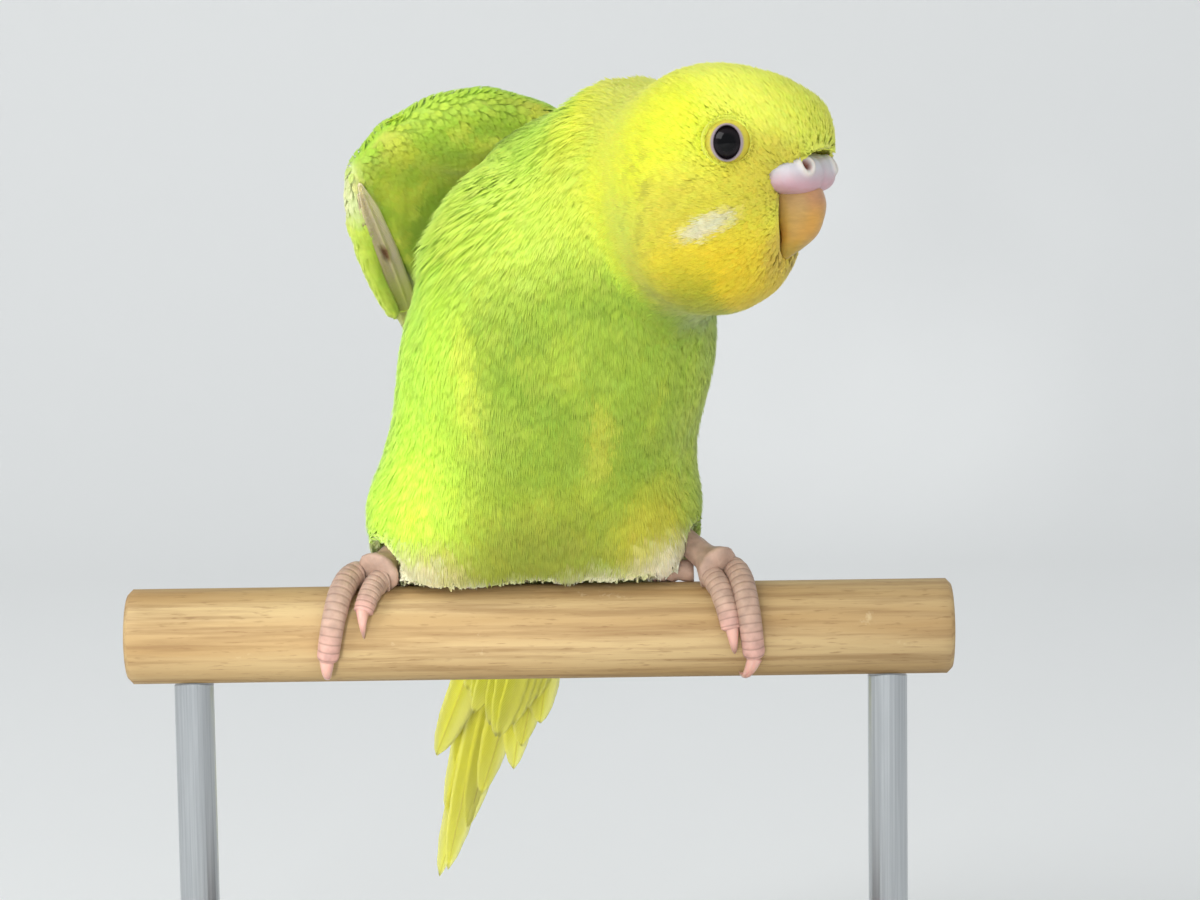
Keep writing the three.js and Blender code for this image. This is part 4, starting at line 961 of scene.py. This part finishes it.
# From the root to the tip: the ridge and the cutting edge, forward and up on the head, and half the width
BILL_HALVES = {
    "upper": (
        (13.6, -0.9, 8.0, -0.9, 3.1), (14.3, -3.0, 8.4, -3.6, 3.05), (14.0, -5.0, 8.9, -5.6, 2.65),
        (13.2, -6.8, 9.1, -7.0, 2.05), (11.5, -8.3, 8.8, -8.1, 1.25), (9.5, -9.6, 8.8, -9.2, 0.35),
    ),
    "lower": (
        (7.6, -4.2, 5.2, -6.4, 2.5), (8.8, -5.9, 6.5, -7.7, 2.3), (9.2, -7.4, 7.7, -8.8, 1.6),
        (9.1, -8.5, 8.4, -9.3, 0.8),
    ),
}
horn = tinted(
    "Bill horn", 0.34, (700, 700, 2600), distortion=0.4, shade=(0.88, 1.06), strength=0.25, depth=0.05,
    Specular_IOR_Level=0.5, Subsurface_Weight=0.25, Subsurface_Scale=0.0012,
    Subsurface_Radius=(1.0, 0.5, 0.2),
)[0]


def smooth_rows(table, count):
    """A table of sizes drawn out to many rows along smooth curves through its own."""
    table = np.array(table, float)
    at = np.linspace(0, len(table) - 1, count)
    slopes = np.gradient(table, axis=0)
    i = np.minimum(at.astype(int), len(table) - 2)
    t = (at - i)[:, None]
    h = 2 * t**3 - 3 * t**2
    bent = (t**3 - 2 * t**2 + t) * slopes[i] + (t**3 - t**2) * slopes[i + 1]
    return (h + 1) * table[i] - h * table[i + 1] + bent


for name, table in BILL_HALVES.items():
    points = []
    for ridge_f, ridge_u, cut_f, cut_u, wide in smooth_rows(table, BILL["rings"]):
        for turn in np.linspace(0, 2 * math.pi, BILL["sides"], endpoint=False):
            fore, aside = math.cos(turn), math.sin(turn)
            keel = 1 - BILL["keel"] * max(fore, 0) ** 3 * abs(aside)
            share = 0.5 + 0.5 * math.copysign(abs(fore) ** BILL["squareness"], fore)
            forward, up = part_way((cut_f, ridge_f), share), part_way((cut_u, ridge_u), share)
            points.append(head_point(forward, wide * 1.04 * aside * keel, up))
    points += [head_point((row[0] + row[2]) / 2, 0, (row[1] + row[3]) / 2) for row in (table[0], table[-1])]
    made = piece_from(f"bill_horn_{name}", points, ring_faces(BILL["rings"], BILL["sides"]), horn)
    _, aside, drop = on_head(np.array(points)).T
    tone = mixed("#cc9844", "#c49268", between(-5.0, -2.0, drop))
    tone = mixed(tone, "#b39848", between(-6.0, -9.0, drop))
    # Painted shade: both sides of the bill are painted darker olive
    tone = mixed(tone, "#a98f52", between(1.6, 3.0, np.abs(aside)) * 0.6)
    paint(made, mixed(tone, "#a07f4e", np.full(len(tone), 0.5 if name == "lower" else 0.0)))
    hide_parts(f"bill_{name}")
    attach(made, "root")

# The wings: the right one is lifted half open off the back, so that its underside shows, and the left one is
# folded along the flank. Long stiff flight feathers with quills sit in the hand and forearm, under rows of
# coverts that shrink towards the front rim, where tiny feathers wrap the skin of the arm.
WINGS = {
    "right": {
        "carpal": (-19.5, 2, 63.2), "back": (0.209, 0.784, -0.585), "dorsal": (-0.263, 0.621, 0.738),
        "wrap": 60, "inward": 1, "hand": (-6.3, 12.6), "elbow": (13, 22), "shoulder": (19, 9),
        "primary_tips": ((-4.6, 84), (7.6, 70)), "secondary_tips": ((9.4, 60), (17, 48)),
        "lifts": (-2.6, 0.9, 4.9),
    },
    "left": {
        "carpal": (22.6, 7.2, 46.3), "back": (-0.343, 0.551, -0.76), "dorsal": (0.75, 0.6, 0.2),
        "wrap": 24, "inward": -1, "hand": (-3.5, 14.5), "elbow": (10, 22), "shoulder": (13, 4),
        "primary_tips": ((0.2, 84), (6, 70)), "secondary_tips": ((6.4, 60), (12, 48)),
        "lifts": (-1.6, 1.4, 4.6),
    },
}
WING_CREST = 4
# Outlines run from a feather's root to its tip, with its breadth at each share of its length. Tones are its
# colours on the quill, at the leading edge, at the trailing edge and at the tip.
FLIGHT_OUTLINE = (
    (0, 0.3), (0.12, 0.62), (0.3, 0.92), (0.6, 1.0), (0.8, 0.93), (0.92, 0.68), (0.98, 0.36), (1, 0.12),
)
COVERT_OUTLINE = ((0, 0.45), (0.3, 0.85), (0.6, 1.0), (0.82, 0.88), (0.94, 0.55), (1, 0.14))
QUILL_OUTLINE = ((0, 0.2), (0.15, 0.8), (0.4, 1.0), (0.8, 1.0), (1, 0.7))
PRIMARY_TONES = ("#d9c2a0", "#c5d94c", "#e6e6a8", "#d9dd7a")
SECONDARY_TONES = ("#d3c795", "#bcd548", "#dde08a", "#d8de62")
PRIMARY = {"width": 7.2, "rows": 34, "quill": 0.26, "lead": 0.35, "ragged": 0.015, "bulge": 0.45}
SECONDARY = {"width": 7.6, "rows": 30, "quill": 0.2, "lead": 0.2, "ragged": 0.02}
COVERT = {"outline": COVERT_OUTLINE, "rows": 12}
RIM_COVERT = {**COVERT, "tones": ("#c9d860", "#bcd444", "#c9de54", "#dce86c"), "width": 4, "droop": 0.6}
UNDER_COVERT = {
    **COVERT, "tones": ("#d3d190", "#c5cc62", "#d9dc7a", "#e0e48a"), "width": 4.4, "sink": -1.0, "droop": 0.2,
}
BARE_QUILL = {
    "outline": QUILL_OUTLINE, "tones": ("#f4dcae", "#ecd09c", "#f0d8a4", "#ecea7c"), "width": 2.8, "rows": 24,
    "quill": 0.3, "sink": -1.6, "droop": -1.0, "ragged": 0.01,
}
# Rows of coverts over the forearm: how far their roots lie behind it, their tips' offset, how many there are,
# how high they lie, and their tones. Then those over the hand, with their tips at its end and at the wrist.
UPPER_TONES = (
    ("#c8d860", "#b2d236", "#c6dc48", "#e2e85c"), ("#c0d658", "#a9ce34", "#bfd944", "#dbe656"),
    ("#b9d450", "#9fca30", "#b6d63e", "#d3e450"),
)
ARM_ROWS = (
    (-3, (2.4, 20), 12, 0.8, 0), (-4, (2.1, 14), 13, 1.3, 1), (-5, (1.8, 9), 13, 1.8, 1),
    (-5.6, (1.4, 5), 12, 2.3, 2), (-6, (1.2, 1.6), 11, 2.7, 2),
)
HAND_ROWS = ((-3.2, (15, 19), 1), (-3.8, (9, 13), 1.6), (-4.2, (4, 7), 2.1))
LAYER = 0.86

# Flight feathers are stiff and thin enough to glow a little with the light behind them. Their barbs run from
# the quill outwards and back, about 0.25 mm apart.
flight, tree, shader = finish_named(
    "Flight feather vane", 0.5, Specular_IOR_Level=0.3, Subsurface_Weight=0.5, Subsurface_Scale=0.002,
    Subsurface_Radius=(1.0, 1.0, 0.3),
)
vane = add(tree, "Attribute", attribute_name="vane").outputs["Vector"]
vane = add(tree, "SeparateXYZ", (vane,)).outputs
aside = add(tree, "Math ABSOLUTE", (vane["X"],))
slanted = add(tree, "Math MULTIPLY_ADD", (aside, 0.9, vane["Y"]))
waves = add(tree, "Math SINE", (add(tree, "Math MULTIPLY", (slanted, 19.0)),))
barbs = add(tree, "MapRange", {"Value": waves, "From Min": -1.0, "To Min": 0.9, "To Max": 1.04})
tint = add(tree, "Attribute", attribute_name="tint")
dress(tree, shader, add(tree, "VectorMath SCALE", {0: tint, "Scale": barbs}), waves, 0.35, 0.08)


def sheet_of(carpal, along, lift, inward, wrap=None, crest=0):
    """A surface through a wing or tail: a point by its distances across, back and up from the sheet."""
    def at(a, v, w):
        a, v, w = (np.asarray(x, float)[..., None] for x in (a, v, w))
        sag = (a - crest) ** 2 / (2 * wrap) if wrap else 0
        return carpal + inward * a + along * v + lift * (w - sag)
    return at


def vane_on(
    sheet, root, tip, lift, width, outline, tones, rows, seed, sink=0.0, droop=0.0, quill=0.0, lead=0.0,
    shingle=0.12, ragged=0.05, thick=0.14,
):
    """One feather as a closed vane that follows the sheet, thin at its edges, with a raised quill."""
    draw = np.random.default_rng(seed)
    root, tip = np.array(root, float), np.array(tip, float)
    length = np.linalg.norm(tip - root)
    ahead = (tip - root) / length
    aside = np.array((ahead[1], -ahead[0]))
    places = np.array((-1, -0.72, -0.42, -0.1, 0.0, 0.1, 0.42, 0.72, 1.0))
    t, x = np.linspace(0, 1, rows)[:, None] ** 0.9, places[None]
    share = np.interp(t, *np.array(outline).T)
    wobble = 1 + ragged * draw.normal(size=(rows, 2)).clip(-1.5, 1.5)
    bend = 0.02 * length * draw.normal()
    reach = x * np.where(x < 0, wobble[:, :1], wobble[:, 1:]) * share * width / 2
    reach = np.where(x < 0, reach * (1 - lead), reach * (1 + lead)) + bend * t**2
    flat = root + ahead * (length * t)[..., None] + aside * reach[..., None]
    flat = flat - ahead * (0.16 * width * np.abs(x) * share * (1 - t * 0.3))[..., None]
    rise = lift - sink * (1 - t) ** 2 - droop * t**2 - shingle * reach - 0.05 * width * x**2
    on_quill = np.abs(x) < 0.05
    half = thick / 2 * (1 - 0.9 * np.abs(x)) * (1.1 - 0.5 * t) + quill * on_quill * (1.05 - t)
    across, back = flat[..., 0], flat[..., 1]
    points = np.concatenate([sheet(across, back, rise + h).reshape(-1, 3) for h in (half, -half)])
    n, m = rows, len(places)
    faces = []
    for i in range(n - 1):
        for k in range(m - 1):
            a, b = i * m + k, (i + 1) * m + k
            faces += [(a, a + 1, b + 1, b), (n * m + a, n * m + b, n * m + b + 1, n * m + a + 1)]
        for k, flip in ((0, 1), (m - 1, -1)):
            a, b = i * m + k, (i + 1) * m + k
            faces.append((a, b, n * m + b, n * m + a)[::flip])
    for i, flip in ((0, -1), (n - 1, 1)):
        for k in range(m - 1):
            a = i * m + k
            faces.append((a, a + 1, n * m + a + 1, n * m + a)[::flip])
    shaft, leading, trailing, end = (np.array(linear(c)) for c in tones)
    x, t = np.broadcast_arrays(x, t)
    side_tone = np.where((x < 0)[..., None], leading, trailing)
    tone = mixed(mixed(leading, trailing, 0.5 + 0.5 * x), side_tone, between(0.05, 0.55, np.abs(x)))
    tone = mixed(tone, end, between(0.72, 1.0, t))
    tone = mixed(tone, shaft, on_quill * (0.9 if quill else 0.35) * np.ones((n, m)))
    tone = tone * (0.94 + 0.1 * draw.random())
    own = np.stack([reach, length * t, np.zeros((n, m))], axis=-1).reshape(-1, 3)
    return points, faces, np.tile(tone.reshape(-1, 4), (2, 1)), np.tile(own, (2, 1))


def joined(name, vanes, material):
    """Several feathers as one mesh, each baking to its own patch beside the next."""
    points, tones, own = (np.concatenate([vane[i] for vane in vanes]) for i in (0, 2, 3))
    faces, patches, count = [], [], 0
    grid = math.ceil(math.sqrt(len(vanes)))
    for n, (p, f, _, o) in enumerate(vanes):
        faces += [tuple(v + count for v in face) for face in f]
        count += len(p)
        low, high = o.min(axis=0), o.max(axis=0)
        patch = (o - low)[:, :2] / np.maximum(high - low, 1e-6)[:2]
        under = np.arange(len(p)) >= len(p) // 2
        corner = np.array((n % grid, n // grid)) / grid
        patches.append(corner + (0.06 + 0.88 * patch * (0.46, 1) + under[:, None] * (0.46, 0)) / grid)
    mesh = bpy.data.meshes.new(name)
    mesh.from_pydata([tuple(p) for p in in_frame(points)], [], faces)
    made = linked(name, mesh)
    mesh.materials.append(material)
    mesh.shade_smooth()
    paint(made, tones)
    keep(mesh, "vane", "FLOAT_VECTOR", own)
    layer = mesh.uv_layers.new(name="OFBake")
    corners = np.empty(len(mesh.loops), int)
    mesh.loops.foreach_get("vertex_index", corners)
    layer.data.foreach_set("uv", np.concatenate(patches)[corners].astype(np.float32).ravel())
    return made


def row_of(sheet, count, roots, tips, lifts, seed, bulge=0.0, **shape):
    """A row of feathers spread evenly from the first to the last, with the tips between them run on."""
    vanes = []
    for i in range(count):
        t = i / (count - 1)
        root, tip = (np.array(ends[0]) * (1 - t) + np.array(ends[1]) * t for ends in (roots, tips))
        tip = tip + (0, bulge * (7.5 * i - i * i))
        vanes.append(vane_on(sheet, root, tip, part_way(lifts, t), seed=seed + i, **shape))
    return vanes


def fitted(name, balls, fineness, softness, sheet, inward=1):
    """A skin over balls, laid out flat and then bent onto a sheet. Also its points while flat."""
    shape = bmesh.new()
    for place in balls:
        bmesh.ops.create_icosphere(shape, subdivisions=fineness, radius=MM, matrix=place)
    made = melted(name, shape, 0.6, softness, hide)
    local = surface(made)[0] + (0, 0, PERCH_HEIGHT)
    move(made, sheet(*local.T))
    if inward < 0:
        made.data.flip_normals()
        made.data.update()
    return made, local


for side, wing in WINGS.items():
    along = unit(np.array(wing["back"]))
    lift = np.array(wing["dorsal"])
    lift = unit(lift - along * lift.dot(along))
    inward = np.cross(along, lift) * wing["inward"]
    sheet = sheet_of(np.array(wing["carpal"], float), along, lift, inward, wing["wrap"], WING_CREST)
    hand, elbow, shoulder = (np.array(wing[key], float) for key in ("hand", "elbow", "shoulder"))
    carpal, (hand_lift, carpal_lift, elbow_lift) = np.array((1.6, 6.5)), wing["lifts"]

    flights = row_of(
        sheet, 10, (hand, carpal), wing["primary_tips"], (hand_lift, carpal_lift), 0, **PRIMARY, droop=1.2,
        outline=FLIGHT_OUTLINE, tones=PRIMARY_TONES,
    )
    flights += row_of(
        sheet, 10, (carpal + (1.4, 1), elbow), wing["secondary_tips"], (carpal_lift + 0.6, elbow_lift), 20,
        **SECONDARY, droop=1.2, outline=FLIGHT_OUTLINE, tones=SECONDARY_TONES,
    )
    made = joined(f"flight_feathers_{side}", flights, flight)
    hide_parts(f"wing_{side}")
    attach(made, "root")

    coverts = []
    for tier, (behind, (on, back), count, layer, tone) in enumerate(ARM_ROWS):
        roots = carpal + (1, behind), elbow + (0.5, behind)
        tips = carpal + (1 + on, back), elbow + (0.5 + on, back - 3)
        lifts = carpal_lift + 0.6 + layer * LAYER, elbow_lift + layer * LAYER
        shape = {**COVERT, "tones": UPPER_TONES[tone], "width": 4.6, "sink": layer * 0.9, "droop": 0.7}
        coverts += row_of(sheet, count, roots, tips, lifts, 40 + 20 * tier, **shape)
    for tier, (behind, reach, layer) in enumerate(HAND_ROWS):
        roots = hand + (0.4, behind), carpal + (-0.4, behind)
        tips = hand + (0.6, reach[0]), carpal + (1, reach[1])
        lifts = hand_lift + LAYER * layer, carpal_lift + LAYER * layer
        coverts += row_of(sheet, 7, roots, tips, lifts, 150 + 10 * tier, **RIM_COVERT, sink=0.7 * layer)
    # The three stiff feathers of the thumb
    for i in range(3):
        root, tip = hand + (4 + 0.6 * i, -5.5 - 0.3 * i), hand + (-1.6 + 1.2 * i, 3 + 1.6 * i)
        shape = {"width": 3.4, "outline": COVERT_OUTLINE, "tones": PRIMARY_TONES, "rows": 14, "quill": 0.15}
        coverts.append(vane_on(sheet, root, tip, hand_lift + 1.1 + 0.5 * i, seed=180 + i, **shape))
    made = joined(f"upper_coverts_{side}", coverts, flight)
    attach(made, "root")

    if side == "right":
        roots, tips = (hand + (3, 6), elbow + (0, 4)), (hand + (3.4, 29), elbow + (1.4, 24))
        lifts = hand_lift + 0.2, carpal_lift + 1
        coverts = row_of(sheet, 12, roots, tips, lifts, 200, **UNDER_COVERT)
        # The outer quills lie bare along the front of the hand, with a brown slit where two of them part
        slit = sheet(-5.2, 17, -5.6)
        for i in range(4):
            root, tip = (-4.3 - 0.6 * i, 3.2 + 2.0 * i), (-5.2 - 0.75 * i, 38 - 2 * i)
            points, faces, tone, own = vane_on(sheet, root, tip, -5.3 + 0.2 * i, seed=240 + i, **BARE_QUILL)
            away = np.hypot((points - slit) @ inward / 0.45, (points - slit) @ along / 1.5)
            tone = mixed(tone, "#e3ea5c", between(15, 24, own[:, 1]) * 0.75)
            coverts.append((points, faces, mixed(tone, "#7d4f38", between(1.3, 0.8, away)), own))
        made = joined("under_coverts_right", coverts, flight)
        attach(made, "root")

    # The arm: skin over muscle and bone, in the shape of a shallow Z from the shoulder to the hand, with the
    # web of skin before the forearm bowed forward from wrist to shoulder. A limb has two ends and two radii.
    wrist, at_shoulder, at_elbow = (1.2, 3.8, 0.6), (*shoulder, 0.2), (*elbow, 2.2)
    halfway = (np.array(wrist) + at_elbow) / 2
    limbs = [
        (wrist, (*hand, -2), 2.8, 2.2), (wrist, at_elbow, 2.7, 3.1), (at_shoulder, at_elbow, 3.7, 3.3),
        (wrist, at_shoulder, 2.5, 3.5), (halfway, at_shoulder, 2.6, 3.5),
    ]
    bow = [wrist, (8, 2.7, 1.2), (14, 3.5, 1.0), (19, 7, 0.2)]
    limbs += [(one, two, 2.6, 2.6) for one, two in zip(bow, bow[1:])] + [(wrist, (12, 12, 0.4), 2.6, 3.0)]
    # The lining of the underwing fills the space behind it as far as the flight feathers' middles
    if side == "right":
        rim = [
            wrist, (-3.4, 4.2, -1.2), (-5.3, 8, -1.8), (-6.2, 12, -2.4), (-7.4, 17, -3.2), (-7.9, 23, -4.0),
            (-7.7, 29, -4.8),
        ]
        for i, (one, two) in enumerate(zip(rim, rim[1:])):
            limbs.append((one, two, 2.4 - 0.27 * i, 2.13 - 0.27 * i))
        for share in np.linspace(0, 1, 8):
            inner = part_way(np.array(((-4.0, 12.6, -2.2), at_elbow)), share) + (0.8, 1.5, -0.2)
            outer = part_way(np.array(((-2.2, 32, -4.0), at_elbow)), share) + (0.5, 8 * share, -1.2 * share)
            limbs += [(wrist, inner, 2.4, 2.1), (halfway, inner, 2.4, 2.1), (inner, outer, 2.0, 1.0)]
    balls = []
    for start, end, *radii in limbs:
        for t in np.linspace(0, 1, 12):
            size = Matrix.Scale(part_way(radii, t) * 1.02, 4)
            balls.append(Matrix.Translation(part_way(np.array((start, end)), t) * MM) @ size)
    arm, local = fitted(f"arm_skin_{side}", balls, 2, 12, sheet, wing["inward"])
    points, outward = surface(arm)
    a, v, w = local.T
    tone = mixed("#a3bc42", "#c9cd4c", between(-0.3, 0.5, rough(points, 5, 11)))
    tone = mixed(tone, "#dfe05c", between(0.15, 0.6, rough(points, 2.2, 12)) * 0.7)
    for colour, share in (
        ("#a9d233", between(-0.25, 0.25, outward @ lift)),
        ("#b7d84a", between(4.5, 0.5, v + 0.12 * a) * between(0, 6, a) * 0.75),
        ("#e3e488", between(18, 27, v) * 0.8),
        ("#d9ea62", between(-3.5, -6.5, a) * 0.9),
        ("#eff0c4", between(-3.4, -5.8, a) * between(10, 6, v) * 0.7),
    ):
        tone = mixed(tone, colour, share)
    flow = along_skin(along + inward * 0.3, outward)
    make_ground(arm, tone, flow, outward, 2.2 + 2.2 * between(0, 14, v), 0.55)
    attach(arm, "root")
    made = plumage(f"arm_plumage_{side}", arm, "feathered", "arm", "body", 30)
    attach(made, "root")

# The tail: twelve stepped feathers, the middle pair by far the longest, hanging below the dowel, closed over
# at the root by coverts above and below. They are yellow with olive shadows between them.
TAIL = {"root": (-3, 20, 3), "tip": (-16.6, 72, -51), "left": np.array((0.97, 0.24, 0))}
STUMP_RADII = (6.6, 8.8, 4.9)
# How long the feathers of each pair are, and how far to the side their tips lie
TAIL_PAIRS = ((76, 0.8), (61, 2.3), (51, 3.8), (43, 5.2), (36, 6.3), (29, 7.2))
TAIL_OUTLINE = ((0, 0.4), (0.15, 0.8), (0.4, 1.0), (0.7, 0.92), (0.86, 0.68), (0.95, 0.38), (1, 0.02))
TAIL_FEATHER = {
    "outline": TAIL_OUTLINE, "tones": ("#dcd04c", "#f6f23c", "#fdfa64", "#fcfa58"), "width": 4.8, "rows": 40,
    "quill": 0.24, "ragged": 0.012,
}
TAIL_COVERT = {
    "outline": TAIL_OUTLINE, "tones": ("#f2f05a", "#f0f040", "#f8f654", "#fbfa5c"), "width": 3.4, "rows": 14,
    "shingle": 0, "thick": 0.12,
}
along = unit(np.array(TAIL["tip"], float) - TAIL["root"])
left_way = unit(TAIL["left"] - along * TAIL["left"].dot(along))
sheet = sheet_of(np.array(TAIL["root"], float), along, np.cross(left_way, along), left_way)
feathers = []
for pair, (length, spread) in enumerate(TAIL_PAIRS):
    for sign in (-1, 1):
        # The tail hangs a little twisted: on the right the inner feathers lie behind the middle pair
        to_right = sign < 0
        behind = to_right and 0 < pair < 5
        layer = -pair if behind else 2 * pair + to_right
        tip = (sign * spread * (0.6 if behind else 1), length - 3 * to_right + 9 * (to_right and pair == 5))
        place = {"root": (sign * (0.6 + pair * 0.75), 2), "tip": tip, "lift": 1.4 - layer * 0.43}
        place.update({"lead": -0.15 * sign, "seed": 300 + 2 * pair + to_right})
        feathers.append(vane_on(sheet, **place, **TAIL_FEATHER))
made = joined("tail_feathers", feathers, flight)
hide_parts("tail")
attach(made, "root")
coverts = []
for face, base in ((1, 1.4 + 0.5), (-1, -3.7 - 0.5)):
    for i in range(7):
        for sign in (-1, 1):
            layer = (6 - i) * 0.45 + (sign > 0) * 0.2
            root, tip = (sign * (0.8 + 0.72 * i), 1 + 0.2 * i), (sign * (0.9 + 1.15 * i), 28 - 2.5 * i)
            bent = {"sink": face * 1.7, "droop": face * 0.9, "seed": 330 + 20 * face + 2 * i + (sign > 0)}
            coverts.append(vane_on(sheet, root, tip, base + face * layer * 0.8, **bent, **TAIL_COVERT))
made = joined("tail_coverts", coverts, flight)
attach(made, "root")

core = Matrix.Translation((0, 3 * MM, -1.2 * MM)) @ Matrix.Diagonal((*STUMP_RADII, 1))
stump, _ = fitted("tail_root_skin", [core], 4, 6, sheet)
points, outward = surface(stump)
tone = mixed("#a9c23c", "#cdd44a", between(-0.3, 0.5, rough(points, 4, 15)))
make_ground(stump, tone, along_skin(along, outward), outward, 5.0, 1.1)
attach(stump, "root")
made = plumage("tail_root_plumage", stump, "feathered", "tail", "body", 40)
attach(made, "root")

# The floor and backdrop: one plain pale sheet, curved up behind, under soft studio light from the upper left
# with a large fill in front. The camera stands where the photograph was taken from, a little above the bird.
paper = finish_named("Pale backdrop paper", 0.9, Base_Color=linear("#ecedec"))[0]
curve = [(0.5 + 0.35 * math.sin(a), 0.35 - 0.35 * math.cos(a)) for a in np.linspace(0.1, math.pi / 2, 12)]
profile = [(-1.6, 0.0), (0.5, 0.0), *curve, (0.85, 1.6)]
faces = [(2 * i, 2 * i + 1, 2 * i + 3, 2 * i + 2) for i in range(len(profile) - 1)]
mesh = bpy.data.meshes.new("backdrop")
mesh.from_pydata([(x, y, z) for y, z in profile for x in (-2.2, 2.2)], [], faces)
mesh.shade_smooth()
mesh.materials.append(paper)
linked("backdrop", mesh)

# Each lamp's place, its size or its cone in degrees, its watts and what it is aimed at. The two small spots
# bring out the tail, which hangs in the shadow of the dowel, and the underside of the wing.
for name, kind, place, wide, watts, aim in (
    ("key", "AREA", (-0.6, -0.45, 0.7), 0.6, 4.7, (0, 0, 0.1)),
    ("front fill", "AREA", (0.25, -1.0, 0.25), 1.0, 4.6, (0, 0, 0.1)),
    ("low front", "AREA", (-0.1, -0.6, 0.05), 0.3, 1.0, (0, 0, 0.02)),
    ("top", "AREA", (0.1, 0.25, 0.95), 0.8, 0.9, (0, 0, 0.1)),
    ("tail spot", "SPOT", (-0.12, -0.6, 0.05), 8, 18.0, (-0.012, 0.045, 0.036)),
    ("wing spot", "SPOT", (-0.34, -0.4, 0.06), 5, 11.0, (-0.024, 0.01, 0.103)),
):
    lamp = bpy.data.lights.new(name, kind)
    lamp.energy = watts
    if kind == "AREA":
        lamp.size = wide
    else:
        lamp.spot_size, lamp.spot_blend, lamp.shadow_soft_size = math.radians(wide), 0.6, 0.05
    hung = linked(name, lamp)
    hung.location = place
    hung.rotation_euler = (Vector(aim) - Vector(place)).to_track_quat("-Z", "Y").to_euler()
    hung.visible_glossy = name == "key"
world = bpy.data.worlds.new("Soft room")
world.use_nodes = True
world.node_tree.nodes["Background"].inputs["Color"].default_value = linear("#eef2f6")
world.node_tree.nodes["Background"].inputs["Strength"].default_value = 0.55
bpy.context.scene.world = world
bpy.context.scene.view_settings.view_transform = "Standard"

CAMERA = {"place": (0.00792, -0.380, 0.13024), "down": 6.2, "roll": -0.8, "sensor": 36.0, "lens": 91.1}
lens = bpy.data.cameras.new("camera")
lens.sensor_width, lens.lens = CAMERA["sensor"], CAMERA["lens"]
lens.clip_start, lens.clip_end = 0.01, 20
camera = linked("camera", lens)
pitch = Matrix.Rotation(math.radians(90 - CAMERA["down"]), 4, "X")
roll = Matrix.Rotation(math.radians(CAMERA["roll"]), 4, "Z")
camera.matrix_world = Matrix.Translation(CAMERA["place"]) @ pitch @ roll
bpy.context.scene.camera = camera
